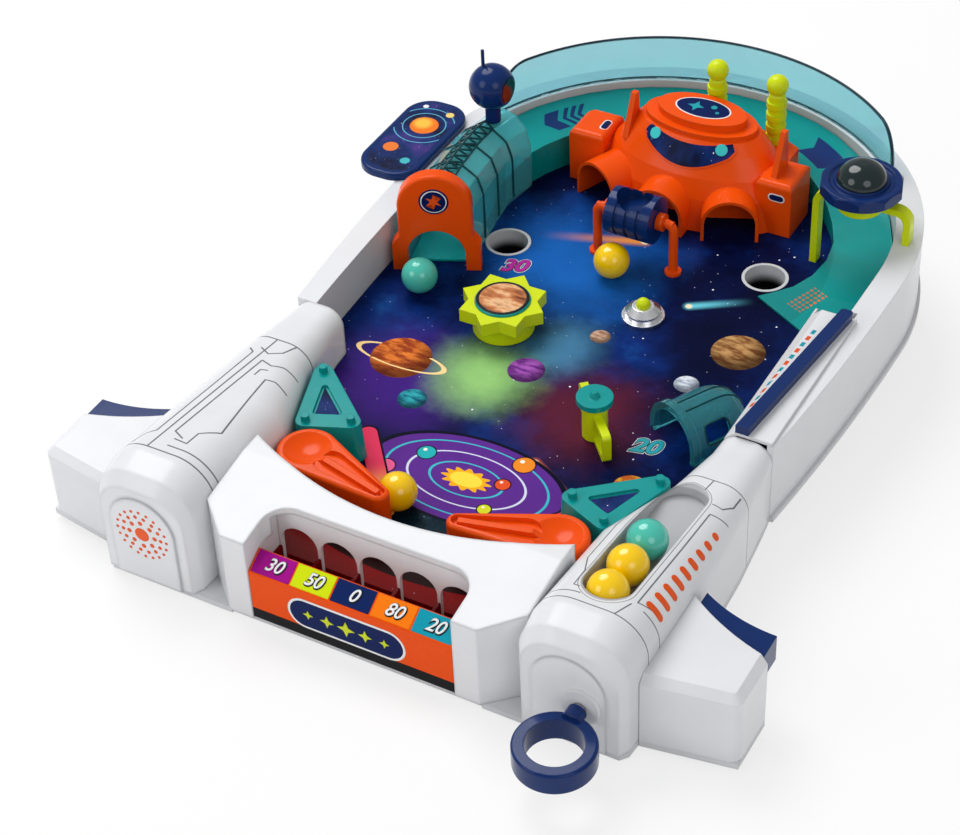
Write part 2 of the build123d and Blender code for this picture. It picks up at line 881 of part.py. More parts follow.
def track_stations():
    mouth_out = (lane_in - lane_wall_t - 2 * seam, lane_end_y + 2 * seam)
    rows = [((mouth_in_x, mouth_in_y), mouth_out, field_top + track_edge)]
    steps = ceil((tunnel_angle - track_mouth_angle) / track_step)
    for i in range(steps + 1):
        a = track_mouth_angle + (tunnel_angle - track_mouth_angle) * i / steps
        flare = max(track_flare_angle - a, 0) / (track_flare_angle - track_mouth_angle)
        r_in = track_in_r - track_flare * flare ** track_flare_power
        r_out = inner_r - track_gap
        tail = max(a - track_fall_angle, 0) / (tunnel_angle - track_fall_angle)
        r_out -= tail * (tunnel_wall + 2 * seam)
        up = (a - track_mouth_angle) / (track_top_angle - track_mouth_angle)
        high = ramp_height(up)
        c, s = cos(radians(a)), sin(radians(a))
        rows.append(((r_in * c, back_y + r_in * s), (r_out * c, back_y + r_out * s), high))
    return rows + tunnel_stations()


def tunnel_stations():
    c, s = cos(radians(portal_angle)), sin(radians(portal_angle))
    behind = portal_t / 2 + seam
    half = portal_hole_w / 2
    end_in = (portal_x + half * c - behind * s, portal_y + half * s + behind * c)
    end_out = (portal_x - half * c - behind * s, portal_y - half * s + behind * c)
    r_out = inner_r - track_gap - tunnel_wall - 2 * seam
    rows = []
    for share in tunnel_y_shares:
        a = pi
        p_in = (track_in_r * cos(a), back_y)
        p_out = (r_out * cos(a), back_y)
        q_in = (end_in[0] + (p_in[0] - end_in[0]) * share, end_in[1] + (p_in[1] - end_in[1]) * share)
        q_out = (end_out[0] + (p_out[0] - end_out[0]) * share, end_out[1] + (p_out[1] - end_out[1]) * share)
        rows.append((q_in, q_out, ramp_height(tunnel_low_share + tunnel_fall_share * share)))
    rows.append((end_in, end_out, field_top + track_edge))
    return rows


def make_track():
    faces = []
    for p, q, high in track_stations():
        outer = (q[0], q[1], high + track_bank * (high - field_top) / track_rise)
        faces.append(make_face(Polyline((*p, field_top), (*p, high), outer, (*q, field_top), close=True)))
    return loft(faces, ruled=True)


def arch_between(p, q, grow, height):
    span = hypot(q[0] - p[0], q[1] - p[1])
    ux, uy = (q[0] - p[0]) / span, (q[1] - p[1]) / span
    middle = ((p[0] + q[0]) / 2, (p[1] + q[1]) / 2, field_top)
    place = Plane(origin=middle, x_dir=(ux, uy, 0), z_dir=(uy, -ux, 0))
    return place * facet_arch(span + 2 * grow, height, tunnel_facets)


def tunnel_arches(grow, trim):
    rows = [row for row in track_stations() if row[0][0] < 0]
    rows = rows[-(len(tunnel_y_shares) + 2):]
    faces = []
    for i, (p, q, high) in enumerate(rows):
        t = i / (len(rows) - 1)
        height = tunnel_back_h + (tunnel_front_h - tunnel_back_h) * t
        faces.append(arch_between(p, q, grow, height - trim))
    return faces


def make_tunnel():
    outer = loft(tunnel_arches(tunnel_wall + seam, 0), ruled=True)
    inner = loft(tunnel_arches(seam, tunnel_wall), ruled=True)
    return outer - inner


def portal_place():
    return Pos(portal_x, portal_y, field_top) * Rot(0, 0, portal_angle)


def make_portal():
    body = extrude(Plane.XZ * arch(portal_w, portal_h), portal_t / 2, both=True)
    front = body.faces().sort_by(Axis.Y)[0]
    body = fillet(front.edges().filter_by(GeomType.CIRCLE), portal_edge_r)
    half, wide = portal_w / 2, portal_lug_w / 2
    lugs = plan((-wide, 0), (wide, 0), (wide, portal_lug_h), (half, portal_lug_top), (-half, portal_lug_top),
                (-wide, portal_lug_h))
    body += extrude(Plane.XZ * lugs, portal_t / 2, both=True)
    body -= extrude(Plane.XZ * arch(portal_hole_w, portal_hole_h), portal_t, both=True)
    return portal_place() * body


# Lookout on the back end of the tunnel
def lookout_spot():
    rows = [row for row in track_stations() if row[0][0] < 0]
    p, q, high = rows[-(len(tunnel_y_shares) + 2)]
    p2, q2, high2 = rows[-(len(tunnel_y_shares) + 1)]
    x = (p[0] + q[0] + p2[0] + q2[0]) / 4
    y = (p[1] + q[1] + p2[1] + q2[1]) / 4
    return x, y


def make_lookout():
    x, y = lookout_spot()
    low = field_top + tunnel_back_h + (tunnel_front_h - tunnel_back_h) / 2
    centre = low + lookout_neck_h + lookout_r
    ball = Pos(x, y, centre) * Sphere(lookout_r)
    flat = lookout_r * lookout_flat_share
    ball -= block(x + flat, x + flat + over, y - lookout_r, y + lookout_r, low, centre + lookout_r + over)
    neck = drum(x, y, low - tunnel_wall, centre, lookout_neck_r)
    tip = centre + lookout_r + whisker_h
    whisker = drum(x - lookout_r * whisker_share, y, centre, tip, whisker_r)
    return ball + neck + whisker - loft(tunnel_arches(tunnel_wall + 2 * seam, -seam), ruled=True)


# Sign plate that lies on the left rim and stands out over its edge
def sign_place():
    return Pos(sign_x, sign_y, rim_h + sign_t / 2)


def make_sign_frame():
    radius = sign_round_share * sign_w
    plate = extrude(rounded(sign_w, sign_len, radius), sign_t / 2, both=True)
    plate = fillet(plate.edges().group_by(Axis.Z)[-1], sign_edge_r)
    inside = rounded(sign_w - 2 * sign_frame_w, sign_len - 2 * sign_frame_w, radius - sign_frame_w)
    pocket = Pos(0, 0, sign_t / 2 - sign_panel_t) * extrude(inside, over)
    return sign_place() * (plate - pocket)


def make_sign_panel():
    radius = sign_round_share * sign_w - sign_frame_w
    face = rounded(sign_w - 2 * (sign_frame_w + fit), sign_len - 2 * (sign_frame_w + fit), radius - fit)
    return sign_place() * Pos(0, 0, sign_t / 2 - sign_panel_t) * extrude(face, sign_panel_t)


def make_screen():
    outer = screen_r + screen_t
    a0 = screen_right
    a1 = screen_left
    p = [(r * cos(radians(a)), back_y + r * sin(radians(a))) for r in (screen_r, outer) for a in (a0, 90, a1)]
    inner_arc = ThreePointArc(p[0], p[1], p[2])
    outer_arc = ThreePointArc(p[3], p[4], p[5])
    face = make_face(inner_arc + Line(p[2], p[5]) + outer_arc + Line(p[3], p[0]))
    sheet = slab(face, rim_h, rim_h + screen_h)
    corners = sheet.edges().filter_by(GeomType.LINE).group_by(Axis.Z)[-1]
    return fillet(corners, screen_end_r)


# Space station: stacked ellipses, three hoods, side lugs, fins and a shelf for the antennas
def ellipse_at(share, h_share):
    place = Pos(station_x, station_y + station_lean * h_share, field_top + station_h * h_share)
    return place * Ellipse(station_rx * share, station_ry * share)


def hood_places():
    mid_x = station_x - hood_w / 6
    return (
        (mid_x - arch_spread, arch_front_y + arch_side_drop, -arch_turn),
        (mid_x, arch_front_y, 0.0),
        (mid_x + arch_spread, arch_front_y + arch_side_drop, arch_turn),
    )


def make_station():
    layers = [ellipse_at(r, h) for r, h in station_layer_shares]
    body = loft(layers, ruled=True)
    for share, low, high in station_step_shares:
        body += extrude(ellipse_at(share, low), station_h * (high - low))
    for x, y, turn in hood_places():
        place = Pos(x, y, field_top) * Rot(0, 0, turn)
        body += place * (Plane.XZ * extrude(arch(hood_w, arch_h), -arch_depth))
    for side in (-1, 1):
        x = station_x + side * station_rx
        lug = block(x - lug_len, x + lug_len / 2, station_y - lug_w / 2, station_y + lug_w / 2, field_top,
                    field_top + lug_h)
        lug = fillet(lug.edges().group_by(Axis.Z)[-1], lug_round)
        body += lug
    for share in fin_shares:
        x = station_x + station_rx * share
        low = field_top + lug_h
        root = field_top + station_h * station_layer_shares[2][1]
        fin = plan((station_y - fin_len / 2, low), (station_y + fin_len / 2, low),
                   (station_y + fin_len / 2 * fin_lean_share, root + fin_h + fin_h / 2),
                   (station_y + fin_len / 2 * fin_lean_share - fin_t, root + fin_h + fin_h / 2))
        body += Pos(x, 0, 0) * extrude(Plane.YZ * fin, fin_t / 2, both=True)
    body += block(station_x - shelf_w / 4, station_x + shelf_w, station_y, shelf_back_y, field_top,
                  field_top + shelf_h)
    body = body & drum(0, back_y, field_top, field_top + 2 * station_h, track_in_r - 2 * seam)
    for share in antenna_shares:
        x, y = antenna_place(share)
        body -= drum(x, y, field_top + shelf_h, field_top + 2 * station_h, antenna_r + seam)
    for x, y, turn in hood_places():
        place = Pos(x, y, field_top) * Rot(0, 0, turn)
        inner = arch(hood_w - 2 * arch_wall, arch_h - arch_wall)
        body -= place * Pos(0, -over, 0) * (Plane.XZ * extrude(inner, -(arch_cut_depth + over)))
    return body


def antenna_place(share):
    return station_x + station_rx * share, shelf_back_y - antenna_r - 2 * seam


def make_antenna(share):
    x, y = antenna_place(share)
    low = field_top + shelf_h
    neck = antenna_r - antenna_groove
    pitch = (antenna_h - antenna_ball_r) / (2 * antenna_ribs)
    profile = [(0, low)]
    for i in range(antenna_ribs):
        a = low + 2 * i * pitch
        profile += [(antenna_r, a), (antenna_r, a + pitch), (neck, a + pitch), (neck, a + 2 * pitch)]
    profile.append((0, low + antenna_h))
    stalk = turned(x, y, *profile)
    return stalk + Pos(x, y, low + antenna_h) * Sphere(antenna_ball_r)


# Flip-over cup
def make_gate_frame():
    frame = along_x(gate_y, gate_axis_h, gate_x - gate_span / 2, gate_x + gate_span / 2, gate_pin_r)
    hub_in = cup_len / 2 + run_gap
    for side in (-1, 1):
        foot = side * gate_span / 2
        hub = side * (hub_in + gate_hub_len / 2)
        route = FilletPolyline((foot, field_top), (foot, gate_axis_h), (hub, gate_axis_h), radius=gate_bend_r)
        leg = sweep(Pos(foot, 0, field_top) * Circle(gate_leg_r), path=Plane.XZ * route)
        leg += drum(foot, 0, field_top, field_top + gate_foot_t, gate_foot_r)
        ends = sorted((side * hub_in, side * (hub_in + gate_hub_len)))
        frame += Pos(gate_x, gate_y, 0) * leg
        frame += along_x(gate_y, gate_axis_h, gate_x + ends[0], gate_x + ends[1], gate_hub_r)
    return frame


def make_gate_cup():
    half = cup_len / 2
    body = along_x(gate_y, gate_axis_h, gate_x - half, gate_x + half, cup_r)
    step = cup_len / (cup_rib_count + 1)
    for i in range(cup_rib_count):
        x = gate_x - half + step * (i + 1)
        ring = along_x(gate_y, gate_axis_h, x - cup_rib_d, x + cup_rib_d, cup_r + over)
        body -= ring - along_x(gate_y, gate_axis_h, x - over, x + over, cup_r - cup_rib_d)
    well = drum(gate_x, gate_y, gate_axis_h + gate_pin_r + cup_wall, gate_axis_h + cup_r + over, cup_well_r)
    bore = along_x(gate_y, gate_axis_h, gate_x - half - over, gate_x + half + over, gate_pin_r + fit)
    return body - well - bore


# Spinning star on a fixed pin
def make_star_wheel():
    low = field_top + star_lift
    high = low + star_h
    points = []
    for i in range(star_points):
        a = 2 * pi * i / star_points
        b = a + pi / star_points
        points.append((star_tip_r * cos(a), star_tip_r * sin(a)))
        points.append((star_root_r * cos(b), star_root_r * sin(b)))
    body = slab(plan(*points), high - star_plate_t, high)
    body += drum(0, 0, low, high, star_lobe_r)
    body -= drum(0, 0, low - over, high - star_plate_t / 2, star_pin_r + fit)
    body -= drum(0, 0, high - star_badge_edge, high + over, star_badge_r + fit)
    return Pos(star_x, star_y, 0) * body


def make_star_badge():
    low = field_top + star_lift + star_h - star_badge_edge
    top = low + star_badge_t
    r = star_badge_r
    e = star_badge_edge
    return turned(star_x, star_y, (0, low), (r, low), (r, top - e), (r - e, top), (0, top))


def make_star_pin():
    top = field_top + star_lift + star_h - star_plate_t / 2 - run_gap
    return drum(star_x, star_y, field_top, top, star_pin_r)


def make_bell():
    r = bell_r
    step = r * bell_step_share
    crown = r * bell_crown_share
    foot = field_top + bell_foot_h
    top = field_top + bell_h
    mid = (foot + top) / 2
    return turned(bell_x, bell_y, (0, field_top), (r, field_top), (r, foot), (step, foot), (step, mid),
                  (crown, top), (0, top))


def make_bell_cap():
    low = field_top + bell_h
    r = bell_cap_r
    mid = sin(pi / 4)
    crown = ThreePointArc((0, low + bell_cap_h), (r * mid, low + bell_cap_h * mid), (r, low))
    face = make_face(Polyline((r, low), (0, low), (0, low + bell_cap_h)) + crown)
    return Pos(bell_x, bell_y, 0) * revolve(Plane.XZ * face, Axis.Z)


# Turnstile: a post with two loop arms on a fixed pin
def make_turnstile():
    low = field_top + star_lift
    post = drum(0, 0, low, field_top + turn_post_h, turn_post_r)
    length = turn_arm_len + turn_post_r
    wall = turn_loop_wall
    loop = rounded(length, turn_arm_h, wall) - rounded(length - 2 * wall, turn_arm_h - 2 * wall, wall / 2)
    arm = extrude(Plane.XZ * loop, turn_arm_t / 2, both=True)
    centre_h = low + turn_arm_h / 2
    reach = length / 2
    body = post + Pos(reach, 0, centre_h) * arm + Pos(-reach, 0, centre_h) * arm
    body -= drum(0, 0, low - over, field_top + turn_post_h - turn_loop_wall, turn_pin_r + fit)
    return Pos(turn_x, turn_y, 0) * Rot(0, 0, turn_angle) * body


def make_turnstile_cap():
    low = field_top + turn_post_h
    top = low + turn_cap_t
    r = turn_cap_r
    e = turn_loop_wall / 2
    return turned(turn_x, turn_y, (0, low), (r - e, low), (r, low + e), (r, top), (turn_cone_r, top),
                  (turn_cone_r / 2, top + turn_cone_h), (0, top + turn_cone_h))


def make_turnstile_pin():
    return drum(turn_x, turn_y, field_top, field_top + turn_post_h - turn_loop_wall - run_gap, turn_pin_r)


# Helmet-shaped tunnel
def helmet_solid(inset, reach):
    r = helmet_w / 2 - inset
    leg = helmet_h - helmet_w / 2
    mid = r * sin(pi / 4)
    crown = ThreePointArc((r, leg), (mid, leg + mid), (0, leg + r))
    half = make_face(Polyline((0, leg + r), (0, -reach), (r, -reach), (r, leg)) + crown)
    front = Plane.XZ * Pos(0, 0, reach) * extrude(half + mirror(half, Plane.YZ), -(helmet_len + reach))
    return front + Pos(0, helmet_len, 0) * Rot(90, 0, 0) * revolve(half, Axis.Y, 180)


def make_helmet():
    brow = Plane.XZ * extrude(arch(helmet_w + 2 * helmet_brow_t, helmet_h + helmet_brow_t), -helmet_brow)
    body = helmet_solid(0, 0) + brow - helmet_solid(helmet_wall, over)
    window = Box(helmet_w * 2, helmet_window_w, helmet_window_h)
    window = Pos(0, helmet_len / 2 + helmet_brow, helmet_h * helmet_window_share) * window
    keep_right = Pos(helmet_w, 0, 0) * Box(helmet_w * 2, helmet_len * 4, helmet_h * 4)
    body -= fillet((window & keep_right).edges().filter_by(Axis.X), helmet_wall)
    return Pos(helmet_x, helmet_y, field_top) * Rot(0, 0, helmet_angle) * body


# Saucer: legs with a collar, a disc and a dome
def make_ufo_legs():
    low = ufo_h - ufo_t / 2 - ufo_collar_h
    collar = drum(ufo_x, ufo_y, low, ufo_h - ufo_t / 2, ufo_collar_r)
    knee = low + ufo_collar_h / 2
    parts = collar
    for foot, floor in ((-ufo_foot_in, field_top), (ufo_foot_out, rim_h)):
        route = FilletPolyline((foot, floor), (foot, knee), (0, knee), radius=ufo_bend_r)
        leg = extrude(Plane.XZ * trace(route, ufo_leg_t), ufo_leg_w / 2, both=True)
        leg &= block(-2 * ufo_r, 2 * ufo_r, -ufo_leg_w, ufo_leg_w, floor, ufo_h)
        parts += Pos(ufo_x, ufo_y, 0) * leg
    return parts


def make_ufo_disc():
    low = ufo_h - ufo_t / 2
    high = ufo_h + ufo_t / 2
    r = ufo_r
    profile = [(0, low)] + [(r * a, low + ufo_t * b) for a, b in ufo_profile_shares] + [(0, high)]
    facets = slab(RegularPolygon(r, ufo_sides), low - over, high + over)
    return Pos(ufo_x, ufo_y, 0) * (turned(0, 0, *profile) & facets)


def make_ufo_dome():
    low = ufo_h + ufo_t / 2
    r = ufo_dome_r
    top = low + ufo_dome_h
    mid = sin(pi / 4)
    crown = ThreePointArc((0, top), (r * mid, low + ufo_dome_h * mid), (r, low))
    face = make_face(Polyline((r, low), (0, low), (0, top)) + crown)
    return Pos(ufo_x, ufo_y, 0) * revolve(Plane.XZ * face, Axis.Z)


# Launch lane: side walls and the sloped cover
def make_lane_guide():
    inner, outer = lane_in - lane_wall_t, lane_out + lane_wall_t
    left = block(inner, lane_in, lane_start_y, lane_inner_end_y, field_top, lane_inner_h)
    right = block(lane_out, outer, lane_start_y, lane_inner_end_y, field_top, lane_inner_h)
    open_wall = block(inner, lane_in, tub_front_y + 2 * seam, lane_end_y, field_top, lane_wall_h)
    return [left, right, open_wall]


def make_lane_rail():
    inner = lane_in - lane_wall_t
    y0 = tub_front_y + 2 * seam
    deck = rim_h + rail_lip_t
    foot = lane_in + rail_t
    section = plan((inner, lane_wall_h), (foot, lane_wall_h), (foot + rail_t, rim_h), (rail_out_x, rim_h),
                   (rail_out_x, deck), (inner + rail_shoulder, deck))
    cover = Plane.XZ * Pos(0, 0, -rail_end_y) * extrude(section, rail_end_y - y0)
    front, back = tub_front_x - bar_front_inset, tub_front_x - bar_back_inset
    bar = slab(plan((front - bar_w, y0), (front, y0), (back, rail_end_y), (back - bar_w, rail_end_y)),
               rim_h, rim_h + rail_rise)
    bar = fillet(bar.edges().filter_by(Axis.Z).group_by(Axis.Y)[-1], bar_w / 3)
    return cover + bar


# Plunger
def ring_centre_y():
    return -panel_t - bush_flange_t - ring_gap - ring_r


def make_ring():
    y = ring_centre_y()
    low = plunger_h - ring_drop - ring_h / 2
    body = drum(lane_x, y, low, low + ring_h, ring_r)
    body = fillet(body.edges().filter_by(GeomType.CIRCLE), (ring_r - ring_hole_r) / 4)
    body -= drum(lane_x, y, low - over, low + ring_h + over, ring_hole_r)
    socket_end = y + ring_r + ring_gap / 2
    neck = along_y(lane_x, plunger_h, y + ring_hole_r + rod_r / 2, socket_end, rod_r + wall_t / 2)
    neck -= drum(lane_x, y, low - over, low + ring_h + over, ring_hole_r + rod_r / 2)
    body += neck
    return body - along_y(lane_x, plunger_h, y + ring_r - rod_r / 2, socket_end + over, rod_r + fit)


def rod_end_y():
    return collar_y + collar_t / 2 + run_gap + stop_t + run_gap + pull_travel


def make_rod():
    start = ring_centre_y() + ring_r - rod_r / 2
    end = rod_end_y()
    rod = along_y(lane_x, plunger_h, start, end, rod_r)
    return rod + along_y(lane_x, plunger_h, end, end + hammer_t, hammer_r)


def make_collar():
    collar = along_y(lane_x, plunger_h, collar_y - collar_t / 2, collar_y + collar_t / 2, collar_r)
    return collar - along_y(lane_x, plunger_h, collar_y - collar_t, collar_y + collar_t, rod_r + fit)


def make_bush():
    front = -panel_t - bush_flange_t
    flange = along_y(lane_x, plunger_h, front, -panel_t, bush_flange_r)
    tube = along_y(lane_x, plunger_h, -panel_t, bush_len - panel_t, bush_r)
    return flange + tube - along_y(lane_x, plunger_h, front - over, bush_len + over, rod_r + fit)


# Coil springs lie along y: quarter-turn arcs with straight ends
def make_spring(x, h, y0, y1, radius, turns):
    quarters = 4 * turns
    start = y0 + wire_r + seam
    pitch = (y1 - y0 - 2 * (wire_r + seam)) / quarters

    def point(q):
        a = pi / 2 * q
        return (x + radius * cos(a), start + pitch * q, h + radius * sin(a))

    path = Wire([ThreePointArc(point(q), point(q + 0.5), point(q + 1)) for q in range(quarters)])
    count = coil_samples * turns
    spots = [path @ (i / count) for i in range(count + 1)]
    apart = coil_samples * 3 // 4
    near = min((a - b).length for i, a in enumerate(spots) for b in spots[i + apart:])
    print(f"spring at x {x:.1f}: least gap to itself {near - 2 * wire_r:.2f} mm")
    begin = Plane(origin=path @ 0, z_dir=path % 0)
    return sweep(begin * Circle(wire_r), path=path)


def make_plunger_spring():
    front = bush_len - panel_t
    return make_spring(lane_x, plunger_h, front, collar_y - collar_t / 2, pull_coil_r, pull_turns)


def make_trigger_spring():
    return make_spring(spring_x(), spring_h(), spring_front_y(), trigger_front_y, grip_coil_r, grip_turns)


# Feet, cut level after the deck is tilted
def make_feet():
    reach = foot_drop + 2 * base_t
    return [drum(side * foot_x, foot_y, -reach, 0, foot_r) for side in (-1, 1)]


def make_legs():
    reach = (leg_y + leg_r) * sin(radians(deck_tilt)) + foot_drop + 2 * base_t
    return [drum(side * leg_x, leg_y, -reach, 0, leg_r) for side in (-1, 1)]


# Balls
def ball(x, y):
    return Pos(x, y, field_top + ball_gap + ball_r) * Sphere(ball_r)


def trough_ball(i):
    along = (trough_y - trough_end_y) / 2 + ball_r + 2 * ball_gap + (ball_d + ball_gap) * i
    return trough_place(0) * Pos(0, along, ball_r + ball_gap) * Sphere(ball_r)


pieces = {
    "base_plate": make_base_plate(),
    "housing": make_housing(),
    "left_booster": mirrored(make_booster()),
    "right_booster": make_right_booster(),
    "left_pod": mirrored(make_grip()),
    "right_pod": make_grip(),
    "playfield": make_playfield(),
    "hole_cups": make_hole_cups(),
    "apron": make_apron(),
    "bay_wall": make_bay_wall(),
    "score_tray": make_score_tray(),
    "left_sling": mirrored(make_sling()),
    "right_sling": make_sling(),
    "left_flipper": mirrored(make_flipper()),
    "right_flipper": make_flipper(),
    "left_crank": mirrored(make_crank()),
    "right_crank": make_crank(),
    "left_trigger": mirrored(make_trigger()),
    "right_trigger": make_trigger(),
    "left_link": mirrored(make_link()),
    "right_link": make_link(),
    "track": make_track(),
    "tunnel": make_tunnel(),
    "tunnel_portal": make_portal(),
    "lookout_head": make_lookout(),
    "sign_frame": make_sign_frame(),
    "sign_panel": make_sign_panel(),
    "windscreen": make_screen(),
    "station": make_station(),
    "antennas": [make_antenna(share) for share in antenna_shares],
    "gate_frame": make_gate_frame(),
    "gate_cup": make_gate_cup(),
    "star_wheel": make_star_wheel(),
    "star_badge": make_star_badge(),
    "spinner_pins": [make_star_pin(), make_turnstile_pin()],
    "bell": make_bell(),
    "bell_cap": make_bell_cap(),
    "turnstile": make_turnstile(),
    "turnstile_cap": make_turnstile_cap(),
    "helmet": make_helmet(),
    "ufo_legs": make_ufo_legs(),
    "ufo_disc": make_ufo_disc(),
    "ufo_dome": make_ufo_dome(),
    "lane_guide": make_lane_guide(),
    "lane_rail": make_lane_rail(),
    "plunger_ring": make_ring(),
    "plunger_rod": make_rod(),
    "plunger_collar": make_collar(),
    "plunger_bush": make_bush(),
    "screws": make_screws(),
    "feet": make_feet() + make_legs(),
    "plunger_spring": make_plunger_spring(),
    "right_trigger_spring": make_trigger_spring(),
    "left_trigger_spring": mirrored(make_trigger_spring()),
    "trough_ball_1": trough_ball(0),
    "trough_ball_2": trough_ball(1),
    "trough_ball_3": trough_ball(2),
    "flipper_ball": ball(flipper_ball_x, flipper_ball_y),
    "gate_ball": ball(gate_ball_x, gate_ball_y),
    "portal_ball": ball(portal_ball_x, portal_ball_y),
}

tilt = Rot(deck_tilt, 0, 0)


def as_solids(shape):
    if isinstance(shape, list):
        return [solid for item in shape for solid in as_solids(item)]
    return list(shape.solids())


level = Pos(0, 0, -foot_drop)
size = 2 * (back_y + back_r)
ground = level * Pos(0, 0, -size / 2) * Box(2 * size, 4 * size, size)
placed = {}
for name, shape in pieces.items():
    solids = [tilt * solid for solid in as_solids(shape)]
    if name == "feet":
        solids = [part for solid in solids for part in as_solids(Part() + solid - ground)]
    placed[name] = solids

box = Compound([solid for solids in placed.values() for solid in solids]).bounding_box()
stand = Pos(-(box.min.X + box.max.X) / 2, -(box.min.Y + box.max.Y) / 2, -box.min.Z)
for name, solids in placed.items():
    solids = [stand * solid for solid in solids]
    export_step(solids[0] if len(solids) == 1 else Compound(solids), f"parts/{name}.step")
print("box", box.size, "stand", stand)
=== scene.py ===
import bpy
import bmesh
import math
from mathutils import Matrix, Vector
from mathutils.bvhtree import BVHTree


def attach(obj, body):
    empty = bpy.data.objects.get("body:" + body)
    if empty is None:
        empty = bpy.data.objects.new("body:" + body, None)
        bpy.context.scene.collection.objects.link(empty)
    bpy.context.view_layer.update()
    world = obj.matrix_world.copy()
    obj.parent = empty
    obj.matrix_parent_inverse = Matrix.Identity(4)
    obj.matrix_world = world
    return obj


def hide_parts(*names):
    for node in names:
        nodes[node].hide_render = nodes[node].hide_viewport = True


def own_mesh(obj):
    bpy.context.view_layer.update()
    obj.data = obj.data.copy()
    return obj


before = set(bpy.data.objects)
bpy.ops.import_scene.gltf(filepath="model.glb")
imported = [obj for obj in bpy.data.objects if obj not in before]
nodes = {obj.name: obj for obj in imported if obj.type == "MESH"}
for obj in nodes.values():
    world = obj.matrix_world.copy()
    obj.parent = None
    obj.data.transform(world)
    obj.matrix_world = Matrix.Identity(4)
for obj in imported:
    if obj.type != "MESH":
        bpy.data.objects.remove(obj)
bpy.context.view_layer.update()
print("frame loaded:", len(nodes), "nodes")

# the deck: everything is drawn flat in millimetres, then tilted and set down like the solids
deck = {"tilt": 4.57, "shift": (0.0, -191.439, 1.0)}
tilt = math.radians(deck["tilt"])
deckTurn = Matrix.Rotation(tilt, 4, "X")
deckPlace = Matrix.Scale(0.001, 4) @ Matrix.Translation(deck["shift"]) @ deckTurn


def onDeck(x, y, h):
    return deckPlace @ Vector((x, y, h))


def srgb(r, g, b):
    def line(c):
        c = c / 255
        return c / 12.92 if c <= 0.04045 else ((c + 0.055) / 1.055) ** 2.4
    return (line(r), line(g), line(b), 1.0)


# a socket in a node tree, with arithmetic
class Ink:
    def __init__(self, tree, socket=None):
        self.tree, self.socket = tree, socket

    def node(self, kind, settings=None, inputs=None, out=0):
        made = self.tree.nodes.new(kind)
        for key, value in (settings or {}).items():
            if key == "stops":
                ramp = made.color_ramp
                while len(ramp.elements) < len(value):
                    ramp.elements.new(0.5)
                for stop, (place, colour) in zip(ramp.elements, value):
                    stop.position, stop.color = place, colour
            else:
                setattr(made, key, value)
        for key, value in (inputs or {}).items():
            if isinstance(value, Ink):
                self.tree.links.new(value.socket, made.inputs[key])
            else:
                made.inputs[key].default_value = value
        return Ink(self.tree, made.outputs[out] if len(made.outputs) else None)

    def math(self, operation, *others):
        return self.node("ShaderNodeMath", {"operation": operation}, dict(enumerate((self,) + others)))

    def __add__(self, other):
        return self.math("ADD", other)

    def __sub__(self, other):
        return self.math("SUBTRACT", other)

    def __rsub__(self, other):
        return (self * -1.0).math("ADD", other)

    def __mul__(self, other):
        return self.math("MULTIPLY", other)

    def __truediv__(self, other):
        return self.math("DIVIDE", other)

    def __gt__(self, other):
        return self.math("GREATER_THAN", other)

    def __lt__(self, other):
        return self.math("LESS_THAN", other)

    def __abs__(self):
        return self.math("ABSOLUTE")

    def __and__(self, other):    # where both masks are
        return self.math("MINIMUM", other)

    def __or__(self, other):    # where either mask is
        return self.math("MAXIMUM", other)

    __radd__, __rmul__ = __add__, __mul__

    def vector(self, operation, other, out=0):
        return self.node("ShaderNodeVectorMath", {"operation": operation}, {0: self, 1: other}, out)

    def part(self, index):
        return self.node("ShaderNodeSeparateXYZ", None, {0: self}, index)

    def over(self, under, mask):    # this colour over another, where the mask is 1
        return self.node("ShaderNodeMix", {"data_type": "RGBA"}, {0: mask, 6: under, 7: self}, 2)

    def noise(self, scale, detail=3.0, rough=0.5):
        return self.node("ShaderNodeTexNoise", None,
                         {"Vector": self, "Scale": scale, "Detail": detail, "Roughness": rough})

    def spots(self, scale):    # distance to scattered points
        return self.node("ShaderNodeTexVoronoi", {"feature": "F1"}, {"Vector": self, "Scale": scale})

    def ramp(self, *stops):    # colours for rising values
        return self.node("ShaderNodeValToRGB", {"stops": stops}, {0: self})

    def step(self, low, high):    # 1 at low and below, 0 at high and above
        return self.node("ShaderNodeMapRange", {"interpolation_type": "SMOOTHSTEP"},
                         {0: self, 1: low, 2: high, 3: 1.0, 4: 0.0})

    def dot(self, x, y, radius, blur=0.2):    # a disc on a flat drawing
        return self.vector("DISTANCE", (x, y, 0.0), 1).step(radius - blur, radius + blur)

    def stroke(self, start, end, width, blur=0.1):    # a straight line on a flat drawing
        ax, ay = start
        bx, by = end[0] - ax, end[1] - ay
        here = self.vector("SUBTRACT", (ax, ay, 0.0))
        share = here.vector("DOT_PRODUCT", (bx, by, 0.0), 1) / (bx * bx + by * by)
        share = share.node("ShaderNodeClamp", None, {0: share})
        along = share.node("ShaderNodeCombineXYZ", None, {0: share * bx, 1: share * by})
        return here.vector("DISTANCE", along, 1).step(width / 2 - blur, width / 2 + blur)


